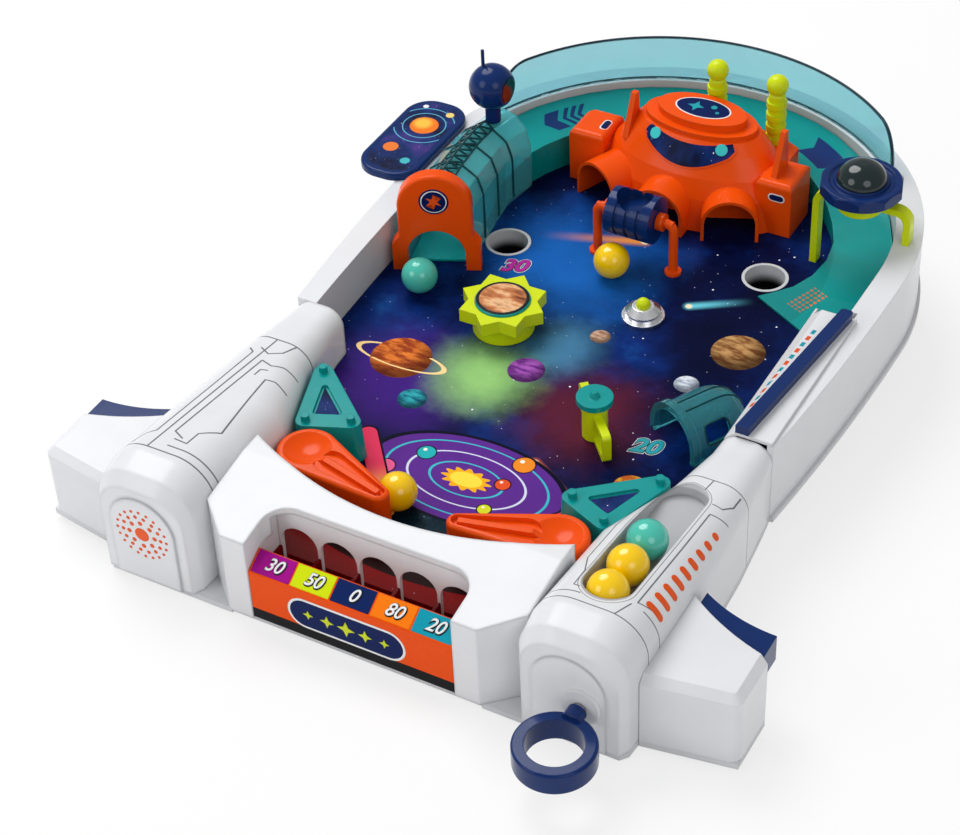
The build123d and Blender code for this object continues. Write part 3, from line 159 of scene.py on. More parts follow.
# a material with its shader and the deck's coordinates in millimetres
class Finish:
    def __init__(self, name):
        self.material = bpy.data.materials.new(name)
        self.material.use_nodes = True
        tree = self.material.node_tree
        self.shader = tree.nodes["Principled BSDF"]
        self.tree = tree
        start = Ink(tree)
        self.place = start.node("ShaderNodeTexCoord", None, None, 3)
        back = deckPlace.inverted()
        self.deck = self.place.node("ShaderNodeMapping", None, {
            0: self.place, 1: back.translation, 2: (-tilt, 0.0, 0.0), 3: (1000.0, 1000.0, 1000.0)})
        self.flat = self.deck.vector("MULTIPLY", (1.0, 1.0, 0.0))
        self.x, self.y, self.h = (self.deck.part(i) for i in range(3))

    def set(self, **values):
        for name, value in values.items():
            socket = self.shader.inputs[name.replace("_", " ")]
            if isinstance(value, Ink):
                self.tree.links.new(value.socket, socket)
            else:
                socket.default_value = value

    def bump(self, height, depth, soft=0.0):
        inputs = {"Strength": 1.0, "Distance": depth, "Height": height}
        if soft:
            inputs["Normal"] = self.deck.node("ShaderNodeBevel", {"samples": 4}, {0: soft})
        self.set(Normal=self.deck.node("ShaderNodeBump", None, inputs))


def tone(finish, rgba, spread=0.04, scale=0.06):
    # a colour that drifts a little, as moulded plastic does
    cloud = finish.deck.noise(scale, 4.0, 0.6)
    dark = tuple(c * (1 - spread) for c in rgba[:3]) + (1.0,)
    light = tuple(min(1.0, c * (1 + spread)) for c in rgba[:3]) + (1.0,)
    return cloud.node("ShaderNodeMix", {"data_type": "RGBA"}, {0: cloud, 6: dark, 7: light}, 2)


plastic = {"grain": 2.2, "grainDepth": 0.00001, "edge": 0.0006, "gloss": 0.26, "drift": 0.08, "smear": 0.14}


def moulded(name, rgba, rough=plastic["gloss"], coat=0.0, paint=None, spread=0.04, edge=plastic["edge"],
            shine=0.24):
    # gloss plastic: drifting colour, fine grain, soft edges
    finish = Finish(name)
    colour = tone(finish, rgba, spread)
    if paint:
        colour = paint(finish, colour)
    smear = finish.deck.noise(plastic["drift"], 5.0, 0.7)
    finish.set(Base_Color=colour, Roughness=smear * plastic["smear"] + (rough - plastic["smear"] / 2))
    finish.set(Coat_Weight=coat, Coat_Roughness=0.1, Specular_IOR_Level=shine)
    grain = finish.deck.noise(plastic["grain"], 3.0, 0.55)
    finish.bump(grain, plastic["grainDepth"], edge)
    return finish


def clearPlastic(name, rgba, through, rough=0.08):
    finish = Finish(name)
    smear = finish.deck.noise(0.1, 4.0, 0.6)
    finish.set(Base_Color=tone(finish, rgba, 0.06, 0.03), Roughness=smear * 0.08 + rough)
    finish.set(Transmission_Weight=through, IOR=1.25, Coat_Weight=0.3, Coat_Roughness=0.06)
    return finish


def metal(name, rgba, rough):
    finish = Finish(name)
    scratch = finish.deck.noise(1.4, 5.0, 0.7)
    finish.set(Base_Color=tone(finish, rgba, 0.05, 0.3), Metallic=1.0, Roughness=scratch * 0.1 + rough)
    finish.bump(scratch, 0.000006, 0.0004)
    return finish


white = srgb(224, 225, 228)
orange = srgb(236, 80, 8)
teal = srgb(2, 146, 144)
navy = srgb(12, 42, 98)
lime = srgb(206, 222, 12)
black = srgb(12, 12, 16)
seamGrey = srgb(92, 92, 98)

# painted shade: grey on the faces of the tub that look towards the middle, its inner wall
tubWallShade = {"middle": (0, 262, 20), "inward": (-40.0, -25.0), "grey": srgb(204, 205, 208)}


def innerGrey(finish, colour):
    # painted shade: the faces of the tub that look towards the middle are painted grey
    normal = finish.deck.node("ShaderNodeNewGeometry", None, None, 1)
    fromMiddle = finish.place.vector("SUBTRACT", tuple(onDeck(*tubWallShade["middle"])))
    inward = normal.vector("DOT_PRODUCT", fromMiddle, 1) * 1000.0
    return tone(finish, tubWallShade["grey"], 0.03).over(colour, inward.step(*tubWallShade["inward"]))


# panel lines of the front corners: rings as y, from x, to x, and runs of points, with x counted outwards
hoodLines = {
    "width": {"left": 0.8, "right": 0.6},
    "left": {
        "rings": ((20.4, 60.0, 140.0), (25.4, 60.0, 104.0), (122.6, 60.0, 140.0)),
        "runs": (((111.0, 20.4), (111.0, 122.6)),
                 ((121.0, 23.0), (119.0, 30.0), (115.0, 33.0), (115.0, 108.0), (118.5, 111.0)),
                 ((101.5, 33.0), (107.2, 36.0), (107.2, 104.0), (101.0, 102.0), (96.0, 105.0), (90.0, 105.5)),
                 ((104.0, 31.0), (97.5, 30.5), (97.5, 39.5), (90.0, 46.0), (97.0, 91.0), (93.0, 93.0),
                  (87.0, 92.0)),
                 ((113.5, 113.0), (108.0, 110.0), (102.5, 114.0), (100.5, 122.6)),
                 ((103.4, 92.0), (103.4, 97.0), (100.4, 98.0)))},
    "right": {
        "rings": ((20.2, 60.0, 140.0), (25.0, 60.0, 96.5), (30.6, 121.6, 140.0), (124.0, 60.0, 140.0)),
        "runs": (((94.0, 28.9), (91.2, 29.4), (90.8, 40.0), (87.0, 50.0), (87.0, 108.0)),
                 ((114.0, 20.2), (116.6, 30.0)),
                 ((124.4, 35.0), (118.2, 32.6), (118.2, 101.7), (125.4, 104.3)),
                 ((109.4, 116.0), (109.9, 124.0)),
                 ((116.5, 108.2), (120.8, 108.6), (123.5, 114.2), (123.4, 122.0)))},
    "blur": 0.12,
    "strength": 0.92,
    "steep": 0.05,    # runs stop where the surface turns upright
    # the trough's grey inside is painted shade in the recess
    "trough": {"ends": ((103.5, 36.0), (103.5, 106.0)), "inside": 22.4, "border": 24.4, "level": 0.4,
               "grey": srgb(186, 187, 190)},
}


def panelLines(side):
    # thin dark lines between the panels of a front corner
    def paint(finish, colour):
        width, blur = hoodLines["width"][side], hoodLines["blur"]
        outward = finish.flat.vector("MULTIPLY", (-1.0 if side == "left" else 1.0, 1.0, 0.0))
        x = outward.part(0)
        up = finish.deck.node("ShaderNodeNewGeometry", None, None, 1).part(2)
        shade = strokes = x * 0.0
        for y, low, high in hoodLines[side]["rings"]:
            ring = abs(finish.y - y).step(width / 2 - blur, width / 2 + blur)
            shade = shade | (ring & (x > low) & (x < high))
        for run in hoodLines[side]["runs"]:
            for start, end in zip(run, run[1:]):
                strokes = strokes | outward.stroke(start, end, width)
        shade = shade | (strokes & (up > hoodLines["steep"]))
        if side == "right":    # the trough: a border line, and grey inside it as painted shade
            trough = hoodLines["trough"]
            start, end = trough["ends"]
            rim = 1.0 - finish.flat.stroke(start, end, trough["border"])
            rim = rim & finish.flat.stroke(start, end, trough["border"] + width)
            shade = shade | (rim & (up > trough["level"]))
            inside = finish.flat.stroke(start, end, trough["inside"], 0.05)
            colour = tone(finish, trough["grey"], 0.05).over(colour, inside)
        return tone(finish, seamGrey, 0.05).over(colour, shade * hoodLines["strength"])
    return paint


railMarks = {"deck": 45.3, "start": (102.0, 180.0), "end": (107.6, 241.0), "pitch": 5.2, "dash": 0.62,
             "width": 1.9, "inks": (srgb(226, 84, 30), srgb(20, 150, 170))}


def railStrip(finish, colour):
    # white cover with short dashes along its raised bar
    low = finish.h < railMarks["deck"]
    colour = tone(finish, white, 0.03).over(colour, low)
    row = (finish.y - railMarks["start"][1]) / railMarks["pitch"]
    dash = row.math("FRACT") < railMarks["dash"]
    line = finish.flat.stroke(railMarks["start"], railMarks["end"], railMarks["width"])
    odd = (row * 0.5).math("FRACT") < 0.5
    warm, cool = (tone(finish, ink, 0.1) for ink in railMarks["inks"])
    return warm.over(cool, odd).over(colour, low & dash & line)


cups = {"pale": srgb(200, 202, 206), "fade": (8.0, 15.0)}


def cupRim(finish, colour):
    # pale wall at the top of a drop hole, black below
    return tone(finish, cups["pale"], 0.04).over(colour, 1.0 - finish.h.step(*cups["fade"]))


badge = {"centre": (-39.0, 208.0, 0.0), "face": (11.2, 11.5), "ring": (12.8, 13.0), "edge": (12.9, 13.1)}


def badgePlanet(finish, colour):
    # banded planet in a dark ring, with a teal edge below
    bands = finish.flat.vector("MULTIPLY", (0.3, 1.0, 0.0)).noise(0.16, 5.0, 0.62)
    planet = bands.ramp((0.32, srgb(96, 40, 20)), (0.46, srgb(196, 120, 70)), (0.56, srgb(236, 190, 140)),
                        (0.7, srgb(150, 76, 44)))
    far = finish.flat.vector("DISTANCE", badge["centre"], 1)
    face = far.step(*badge["face"])
    colour = planet.over(colour, face)
    colour = tone(finish, black, 0.05).over(colour, far.step(*badge["ring"]) & (1.0 - face))
    return tone(finish, teal, 0.05).over(colour, 1.0 - far.step(*badge["edge"]))


nightStars = ((0.16, 0.06), (0.4, 0.07))    # scale, size


def nightSky(finish, colour):
    # starry sheet for the sign and the small stickers
    cloud = finish.flat.noise(0.05, 5.0, 0.6)
    sky = cloud.ramp((0.35, srgb(6, 10, 36)), (0.55, srgb(18, 44, 104)), (0.72, srgb(74, 50, 130)))
    for scale, size in nightStars:
        stars = finish.flat.spots(scale).step(size * 0.5, size)
        sky = tone(finish, srgb(244, 246, 255), 0.02).over(sky, stars)
    return sky


# sun and moons on the sign: x, y, radius, and a colour for each moon
signMarks = {"sun": (-138.0, 306.0, 7.5), "rings": (1.5, 2.1), "line": (0.2, 0.4), "core": (1.6, 0.6, 2.0),
             "moons": ((-144.0, 282.0, 4.0, (230, 120, 50)), (-131.0, 274.0, 2.6, (70, 180, 190)),
                       (-130.5, 320.0, 2.2, (240, 210, 120)), (-146.0, 322.0, 1.5, (240, 240, 250)))}


def signSky(finish, colour):
    sky = nightSky(finish, colour)
    x, y, radius = signMarks["sun"]
    far = finish.flat.vector("DISTANCE", (x, y, 0.0), 1)
    for ring in signMarks["rings"]:
        line = abs(far - radius * ring).step(*signMarks["line"])
        sky = tone(finish, srgb(90, 170, 200), 0.05).over(sky, line)
    sky = tone(finish, srgb(240, 120, 30), 0.1).over(sky, finish.flat.dot(x, y, radius))
    aside, share, blur = signMarks["core"]
    core = finish.flat.dot(x - aside, y + aside, radius * share, blur)
    sky = tone(finish, srgb(252, 190, 70), 0.1).over(sky, core)
    for moonX, moonY, size, rgb in signMarks["moons"]:
        sky = tone(finish, srgb(*rgb), 0.1).over(sky, finish.flat.dot(moonX, moonY, size))
    return sky


# painted shade in the tray: dark red in the bays, black below the floor height
bays = {"back": 10.1, "floor": 10.0, "shadedRed": srgb(110, 3, 3)}


def trayBayShade(finish, colour):
    # painted shade: dark red inside the bays for the shaded orange, and black at the foot for the shadow
    # under the tray
    inside = (finish.y > bays["back"]) & (finish.h > bays["floor"])
    colour = tone(finish, bays["shadedRed"], 0.1).over(colour, inside)
    return tone(finish, black, 0.1).over(colour, finish.h < bays["floor"])


# marks on the ramp: bars as middle and width along it, an arrow as angle and width, and a patch of dots
rampMarks = {"centre": (0.0, 297.0, 0.0), "radius": 101.0, "wide": 15.0, "lead": 0.6, "above": 30.0,
             "angle": 149.0, "bars": ((0.0, 8.0), (-8.2, 2.4), (-12.4, 2.4), (-16.6, 2.4)),
             "arrow": (58.0, 19.0), "dots": (84.0, 290.0, 0.0), "dotsTurn": 66.0, "dotsHalf": (9.1, 5.2),
             "grid": 2.6, "dot": (0.28, 0.36), "inner": (86.8, 88.0), "innerShade": 0.4}


def rampArrows(finish, colour):
    # bars and an arrow on the ramp, a dotted patch at its mouth, a darker inner edge
    shift = finish.flat.vector("SUBTRACT", rampMarks["centre"])
    turn = shift.part(1).math("ARCTAN2", shift.part(0))
    far = shift.vector("LENGTH", (0.0, 0.0, 0.0), 1)
    across = abs(far - rampMarks["radius"])
    lean = across * rampMarks["lead"]
    along = (turn - math.radians(rampMarks["angle"])) * rampMarks["radius"] + lean
    angle, width = rampMarks["arrow"]
    marks = abs((turn - math.radians(angle)) * rampMarks["radius"] - lean) < width / 2
    for middle, width in rampMarks["bars"]:
        marks = marks | (abs(along - middle) < width / 2)
    marks = marks & (across < rampMarks["wide"] / 2) & (finish.h > rampMarks["above"])
    colour = tone(finish, srgb(14, 40, 104), 0.05).over(colour, marks)
    local = finish.flat.node("ShaderNodeMapping", None, {
        0: finish.flat.vector("SUBTRACT", rampMarks["dots"]),
        2: (0.0, 0.0, math.radians(-rampMarks["dotsTurn"]))})
    long, wide = rampMarks["dotsHalf"]
    patch = (abs(local.part(0)) < long) & (abs(local.part(1)) < wide)
    grid = rampMarks["grid"]
    cell = local.vector("DIVIDE", (grid, grid, 1.0)).vector("FRACTION", (0.0, 0.0, 0.0))
    fromDot = cell.vector("MULTIPLY", (1.0, 1.0, 0.0)).vector("DISTANCE", (0.5, 0.5, 0.0), 1)
    colour = tone(finish, srgb(226, 110, 50), 0.05).over(colour, fromDot.step(*rampMarks["dot"]) & patch)
    inner = far.step(*rampMarks["inner"]) * rampMarks["innerShade"]
    return tone(finish, srgb(4, 112, 110), 0.05).over(colour, inner)


playfieldArt = {
    "stars": ((0.085, 0.055), (0.2, 0.05)),
    # x, y, radius, colour, strength
    "glows": ((-34.0, 268.0, 66.0, (24, 100, 186), 0.9), (-66.0, 150.0, 52.0, (66, 30, 128), 0.9),
              (26.0, 168.0, 46.0, (104, 34, 52), 0.75), (-30.0, 172.0, 36.0, (150, 204, 120), 0.9),
              (66.0, 250.0, 52.0, (8, 12, 44), 0.8), (-8.0, 206.0, 30.0, (84, 150, 190), 0.6)),
    "rock": {"fade": (82.0, 92.0), "ragged": 14.0},    # dark ground in front
    "drainShade": {"bend": 0.0033, "fade": (44.0, 62.0), "front": 36.0},    # painted shade under the apron: dark red, with near black behind it
    # head, end of the tail, width, colour
    "comets": (((-8.0, 300.0), (-60.0, 282.0), 5.0, (240, 150, 60)),
               ((34.0, 262.0), (62.0, 280.0), 4.0, (110, 210, 230)),
               ((20.0, 128.0), (60.0, 104.0), 4.0, (244, 120, 60))),
    # x, y, radius, colour, second colour, ring
    "planets": (
        (70.0, 240.0, 13.0, (196, 150, 96), (120, 74, 40), False),
        (-14.0, 184.0, 9.0, (172, 92, 190), (104, 42, 130), False),
        (-72.0, 166.0, 15.0, (232, 128, 52), (150, 60, 30), True),
        (58.0, 208.0, 6.0, (226, 232, 240), (150, 160, 180), False),
        (-52.0, 142.0, 7.0, (52, 168, 176), (20, 96, 120), False),
        (66.0, 132.0, 8.0, (240, 176, 60), (190, 92, 30), False),
        (6.0, 222.0, 5.0, (214, 178, 150), (150, 110, 90), False),
        (-60.0, 228.0, 4.0, (230, 210, 120), (180, 140, 60), False),
    ),
    "belt": {"turn": -24.0, "squash": 3.4, "reach": 1.55, "line": (1.2, 1.6)},
}
# oval between the flippers: a sun with planets on rings, which are given as ring, angle, size and colour
emblem = {
    "centre": (-2.0, 104.0), "squash": 1.75,
    "border": (49.5, 50.0), "face": (46.6, 47.1), "line": (0.45, 0.75),
    "rings": ((18.0, (60, 190, 204)), (29.0, (214, 220, 240)), (40.0, (60, 190, 204))),
    "rays": 12.0, "rayHeight": 1.6, "sun": (10.6, 11.2), "core": (7.6, 8.2), "dark": srgb(10, 12, 34),
    "planets": ((18.0, 25.0, 3.4, (230, 84, 40)), (29.0, 150.0, 4.2, (40, 176, 180)),
                (29.0, 305.0, 3.0, (214, 222, 40)), (40.0, 200.0, 4.4, (232, 96, 150)),
                (40.0, 62.0, 5.0, (240, 140, 40))),
}
streaks = {"start": (58.0, 112.0), "end": (24.0, 70.0), "border": 10.4, "width": 8.4, "warm": (6.0, 34.0)}


def drawSky(finish):
    flat = finish.flat
    wisp = flat.vector("ADD", (310.0, 45.0, 0.0)).noise(0.02, 6.0, 0.66)
    sky = flat.noise(0.013, 5.0, 0.6).ramp(
        (0.34, srgb(3, 6, 26)), (0.48, srgb(7, 18, 62)), (0.6, srgb(12, 42, 110)), (0.74, srgb(26, 92, 168)))
    for x, y, radius, rgb, strength in playfieldArt["glows"]:
        ragged = flat.vector("DISTANCE", (x, y, 0.0), 1) + (wisp - 0.5) * (radius * 0.9)
        sky = tone(finish, srgb(*rgb), 0.15, 0.05).over(sky, ragged.step(radius * 0.15, radius) * strength)
    return sky


def drawGround(finish, sky):
    edges, drainShade = playfieldArt["rock"], playfieldArt["drainShade"]
    rock = finish.flat.noise(0.09, 6.0, 0.7)
    ground = rock.ramp((0.35, srgb(6, 8, 14)), (0.6, srgb(16, 44, 58)), (0.75, srgb(40, 80, 96)))
    sky = ground.over(sky, (finish.y + rock * edges["ragged"]).step(*edges["fade"]))
    # painted shade: near black, then dark red, where the way runs under the apron
    edge = finish.y - finish.x * finish.x * drainShade["bend"]
    sky = tone(finish, srgb(30, 3, 4), 0.1).over(sky, edge.step(*drainShade["fade"]))
    return tone(finish, srgb(120, 2, 2), 0.1).over(sky, edge < drainShade["front"])


def drawStars(finish, sky):
    flat = finish.flat
    for scale, size in playfieldArt["stars"]:
        sky = tone(finish, srgb(240, 244, 255), 0.02).over(sky, flat.spots(scale).step(size * 0.6, size))
    for (ax, ay), (bx, by), width, rgb in playfieldArt["comets"]:
        tail = flat.stroke((ax, ay), (bx, by), width, width / 2)
        fade = flat.vector("DISTANCE", (ax, ay, 0.0), 1).step(0.0, math.hypot(bx - ax, by - ay))
        sky = tone(finish, srgb(*rgb), 0.1).over(sky, tail * fade)
        sky = tone(finish, srgb(255, 240, 200), 0.02).over(sky, flat.dot(ax, ay, width * 0.42, 0.5))
    return sky


def drawPlanets(finish, sky):
    flat, belt = finish.flat, playfieldArt["belt"]
    turn = (0.0, 0.0, math.radians(belt["turn"]))
    for x, y, radius, light, shade, ring in playfieldArt["planets"]:
        disc = flat.dot(x, y, radius)
        bands = flat.vector("MULTIPLY", (0.35, 1.0, 0.0)).noise(0.22 + 1.0 / radius, 4.0, 0.6)
        ball = bands.node("ShaderNodeMix", {"data_type": "RGBA"},
                          {0: bands.step(0.38, 0.62), 6: srgb(*light), 7: srgb(*shade)}, 2)
        night = 1.0 - flat.dot(x - radius * 0.35, y + radius * 0.35, radius * 0.9, radius * 0.45)
        darkSide = tuple(c * 0.22 for c in srgb(*shade)[:3]) + (1.0,)
        sky = tone(finish, darkSide, 0.02).over(ball, night * 0.85).over(sky, disc)
        if ring:
            shift = flat.vector("SUBTRACT", (x, y, 0.0))
            oval = shift.node("ShaderNodeMapping", None, {0: shift, 2: turn, 3: (1.0, belt["squash"], 0.0)})
            line = abs(oval.vector("LENGTH", (0.0, 0.0, 0.0), 1) - radius * belt["reach"]).step(*belt["line"])
            front = shift.node("ShaderNodeMapping", None, {0: shift, 2: turn}).part(1) < 0.0
            sky = tone(finish, srgb(250, 214, 150), 0.05).over(sky, line & ((1.0 - disc) | front))
    return sky


def drawEmblem(finish, sky):
    flat = finish.flat
    x, y = emblem["centre"]
    oval = flat.node("ShaderNodeMapping", None, {
        0: flat.vector("SUBTRACT", (x, y, 0.0)), 3: (1.0, emblem["squash"], 0.0)})
    far = oval.vector("LENGTH", (0.0, 0.0, 0.0), 1)
    sky = tone(finish, emblem["dark"], 0.05).over(sky, far.step(*emblem["border"]))
    sky = tone(finish, srgb(92, 44, 142), 0.12).over(sky, far.step(*emblem["face"]))
    for radius, rgb in emblem["rings"]:
        sky = tone(finish, srgb(*rgb), 0.03).over(sky, abs(far - radius).step(*emblem["line"]))
    turn = oval.part(1).math("ARCTAN2", oval.part(0))
    rays = (turn * emblem["rays"]).math("SINE") * emblem["rayHeight"]
    sky = tone(finish, srgb(250, 176, 24), 0.05).over(sky, (far - rays).step(*emblem["sun"]))
    sky = tone(finish, srgb(255, 222, 70), 0.03).over(sky, far.step(*emblem["core"]))
    for radius, angle, size, rgb in emblem["planets"]:
        px = x + radius * math.cos(math.radians(angle))
        py = y + radius * math.sin(math.radians(angle)) / emblem["squash"]
        gleam = flat.dot(px - size * 0.35, py + size * 0.35, size * 0.22)
        sky = tone(finish, emblem["dark"], 0.02).over(sky, flat.dot(px, py, size + 0.6))
        sky = tone(finish, srgb(*rgb), 0.08).over(sky, flat.dot(px, py, size))
        sky = tone(finish, srgb(255, 250, 235), 0.01).over(sky, gleam)
    return sky


def drawStreaks(finish, sky):
    # a pink streak on each side of the oval, warm at its lower end
    flat = finish.flat
    for side in (-1, 1):
        start, end = ((side * x, y) for x, y in (streaks["start"], streaks["end"]))
        streak = flat.stroke(start, end, streaks["width"])
        warm = flat.vector("DISTANCE", (*end, 0.0), 1).step(*streaks["warm"])
        sky = tone(finish, srgb(12, 10, 26), 0.05).over(sky, flat.stroke(start, end, streaks["border"]))
        sky = tone(finish, srgb(232, 58, 96), 0.1).over(sky, streak)
        sky = tone(finish, srgb(252, 190, 70), 0.05).over(sky, streak & warm)
    return sky


def spaceArt(finish, colour):
    sky = drawSky(finish)
    for draw in (drawGround, drawStars, drawPlanets, drawEmblem, drawStreaks):
        sky = draw(finish, sky)
    return sky


print("inks ready")

dressed = set()


def dress(finish, *names):
    for name in names:
        mesh = nodes[name].data
        mesh.materials.clear()
        mesh.materials.append(finish.material)
        dressed.add(name)


dress(moulded("whiteShell", white, 0.24), "left_pod", "right_pod", "bay_wall", "plunger_bush")
dress(moulded("apronShell", white, 0.24, edge=0.002), "apron")
dress(moulded("tubShell", white, 0.24, paint=innerGrey), "housing")
dress(moulded("leftCornerShell", white, 0.2, paint=panelLines("left"), edge=0.003), "left_booster")
dress(moulded("rightCornerShell", white, 0.2, paint=panelLines("right"), edge=0.003), "right_booster")
dress(moulded("floorGrey", srgb(214, 215, 218), 0.5), "base_plate", "lane_guide")
dress(moulded("printedSheet", srgb(10, 20, 70), 0.28, paint=spaceArt, shine=0.03), "playfield")
dress(moulded("cupBlack", black, 0.5, paint=cupRim), "hole_cups")
dress(moulded("trayOrange", orange, 0.28, paint=trayBayShade, spread=0.02, shine=0.08), "score_tray")
orangeGloss = moulded("orangeGloss", orange, 0.2, shine=0.16)
dress(orangeGloss, "left_flipper", "right_flipper", "tunnel_portal", "station", "gate_frame")
dress(moulded("tealGloss", teal, 0.22), "left_sling", "right_sling", "turnstile_cap")
dress(moulded("rampTeal", teal, 0.22, paint=rampArrows), "track")
dress(moulded("navyGloss", navy, 0.15, shine=0.2), "left_trigger", "right_trigger", "lookout_head",
      "sign_frame", "gate_cup", "ufo_disc", "plunger_ring")
dress(moulded("railNavy", navy, 0.2, paint=railStrip), "lane_rail")
dress(moulded("limeGloss", lime), "antennas", "star_wheel", "bell_cap", "turnstile", "ufo_legs")
dress(moulded("domeBlack", srgb(16, 34, 36), 0.05, 0.5), "ufo_dome")
dress(moulded("innerGrey", srgb(120, 122, 126), 0.5), "left_crank", "right_crank", "left_link", "right_link")
dress(moulded("footRubber", srgb(34, 34, 36), 0.7), "feet")
dress(moulded("ballYellow", srgb(255, 206, 0), 0.1, 0.2, shine=0.5), "trough_ball_1", "trough_ball_2",
      "flipper_ball", "gate_ball")
dress(moulded("ballTeal", srgb(74, 192, 174), 0.1, 0.2, shine=0.5), "trough_ball_3", "portal_ball")
dress(clearPlastic("clearTeal", srgb(116, 222, 228), 0.74), "tunnel")
dress(clearPlastic("helmetTeal", srgb(84, 190, 200), 0.8), "helmet")
dress(clearPlastic("clearBlue", srgb(160, 222, 232), 0.85, 0.04), "windscreen")
dress(moulded("signNight", srgb(10, 20, 60), 0.3, paint=signSky, shine=0.12), "sign_panel")
dress(moulded("badgeRock", teal, 0.25, paint=badgePlanet), "star_badge")
dress(metal("bellChrome", srgb(232, 233, 236), 0.24), "bell")
dress(metal("bareSteel", srgb(160, 162, 166), 0.25), "spinner_pins", "plunger_rod", "plunger_collar",
      "screws", "plunger_spring", "right_trigger_spring", "left_trigger_spring")
print("finishes on", len(dressed), "nodes; bare:", sorted(set(nodes) - dressed))

# thin sheets laid on the solids; flat ones are cut into wider cells
sheets = {"lift": 0.1, "thick": 0.12, "cell": 1.5, "flatCell": 40.0, "reach": 30.0}
skins = {}


def skin(name):
    if name not in skins:
        mesh = nodes[name].data
        mesh.calc_loop_triangles()
        skins[name] = BVHTree.FromPolygons([v.co for v in mesh.vertices],
                                           [tuple(face.vertices) for face in mesh.loop_triangles])
    return skins[name]


def facing(origin, across, up):
    # a drawing plane on the deck: its own z points away from the surface
    across, up = Vector(across).normalized(), Vector(up).normalized()
    turn = Matrix((across, up, across.cross(up))).transposed().to_4x4()
    return deckPlace @ Matrix.Translation(origin) @ turn


def laidOn(node, outline, place, lift=sheets["lift"], thick=sheets["thick"], cell=sheets["cell"]):
    # a thin sheet cut to an outline and laid on a node's surface
    made = bmesh.new()
    made.faces.new([made.verts.new((u, v, 0.0)) for u, v in outline])
    bmesh.ops.triangulate(made, faces=made.faces[:])
    for axis in (0, 1):
        low, high = min(p[axis] for p in outline), max(p[axis] for p in outline)
        steps = int((high - low) / cell)
        for i in range(1, steps + 1):
            spot, normal = [0.0, 0.0, 0.0], [0.0, 0.0, 0.0]
            spot[axis], normal[axis] = low + (high - low) * i / (steps + 1), 1.0
            whole = made.verts[:] + made.edges[:] + made.faces[:]
            bmesh.ops.bisect_plane(made, geom=whole, plane_co=spot, plane_no=normal)
    down = (place.to_3x3() @ Vector((0.0, 0.0, -1.0))).normalized()
    for vert in made.verts:
        hit = skin(node).ray_cast(place @ Vector((vert.co.x, vert.co.y, sheets["reach"])), down)[0]
        vert.co = (hit if hit else place @ vert.co) - down * lift * 0.001
    bmesh.ops.recalc_face_normals(made, faces=made.faces[:])
    flipped = [face for face in made.faces if face.normal.dot(down) > 0]
    if flipped:
        bmesh.ops.reverse_faces(made, faces=flipped)
    bmesh.ops.solidify(made, geom=made.faces[:], thickness=thick * 0.001)
    mesh = bpy.data.meshes.new("sheet")
    made.to_mesh(mesh)
    made.free()
    return mesh


def circle(radius, count=48, x=0.0, y=0.0, squeeze=1.0):
    angles = [2 * math.pi * i / count for i in range(count)]
    return [(x + radius * math.cos(a), y + squeeze * radius * math.sin(a)) for a in angles]


def stadium(width, height, radius, x=0.0, y=0.0, count=10):
    points = []
    for i, (sx, sy) in enumerate(((1, 1), (-1, 1), (-1, -1), (1, -1))):
        for j in range(count + 1):
            a = math.radians(90 * (i + j / count))
            points.append((x + sx * (width / 2 - radius) + radius * math.cos(a),
                           y + sy * (height / 2 - radius) + radius * math.sin(a)))
    return points


def numeral(text, size, place, thick=0.1, fatten=0.0, lean=0.15):
    letters = bpy.data.curves.new("numeral", "FONT")
    letters.body, letters.size, letters.shear = text, size, lean
    letters.align_x, letters.align_y = "CENTER", "CENTER"
    letters.extrude, letters.offset = thick, fatten
    holder = bpy.data.objects.new("numeral", letters)
    bpy.context.scene.collection.objects.link(holder)
    graph = bpy.context.evaluated_depsgraph_get()
    mesh = bpy.data.meshes.new_from_object(holder.evaluated_get(graph))
    bpy.data.objects.remove(holder)
    mesh.transform(place)
    return mesh


def gather(name, meshes, finish, body="cabinet"):
    # several meshes as one piece
    made = bmesh.new()
    for mesh in meshes:
        made.from_mesh(mesh)
    whole = bpy.data.meshes.new(name)
    made.to_mesh(whole)
    made.free()
    whole.materials.append(finish.material)
    piece = bpy.data.objects.new(name, whole)
    bpy.context.scene.collection.objects.link(piece)
    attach(piece, body)
    return piece


def sticker(name, node, outline, place, finish, lift=sheets["lift"], thick=sheets["thick"]):
    # one flat sheet as a piece
    gather(name, [laidOn(node, outline, place, lift, thick, sheets["flatCell"])], finish)


# a Geometry Nodes tree with named sizes
class Grower:
    def __init__(self, name):
        self.tree = bpy.data.node_groups.new(name, "GeometryNodeTree")
        self.tree.interface.new_socket("Geometry", in_out="INPUT", socket_type="NodeSocketGeometry")
        self.tree.interface.new_socket("Geometry", in_out="OUTPUT", socket_type="NodeSocketGeometry")
        self.start = self.tree.nodes.new("NodeGroupInput")
        self.sockets = {}
        self.ink = Ink(self.tree, self.start.outputs[0])

    def size(self, name, kind="NodeSocketFloat"):
        socket = self.tree.interface.new_socket(name, in_out="INPUT", socket_type=kind)
        self.sockets[name] = socket.identifier
        return Ink(self.tree, self.start.outputs[name])

    def close(self, shape):
        material = self.size("Finish", "NodeSocketMaterial")
        whole = shape.node("GeometryNodeRealizeInstances", None, {0: shape})
        whole = whole.node("GeometryNodeSetMaterial", None, {0: whole, 2: material})
        whole.node("NodeGroupOutput", None, {0: whole})

    def mesh(self, base, finish, **sizes):
        holder = bpy.data.objects.new("holder", base)
        bpy.context.scene.collection.objects.link(holder)
        grow = holder.modifiers.new("grow", "NODES")
        grow.node_group = self.tree
        grow[self.sockets["Finish"]] = finish.material
        for name, value in sizes.items():
            grow[self.sockets[name]] = value
        graph = bpy.context.evaluated_depsgraph_get()
        made = bpy.data.meshes.new_from_object(holder.evaluated_get(graph))
        holder.modifiers.clear()
        bpy.data.objects.remove(holder)
        return made


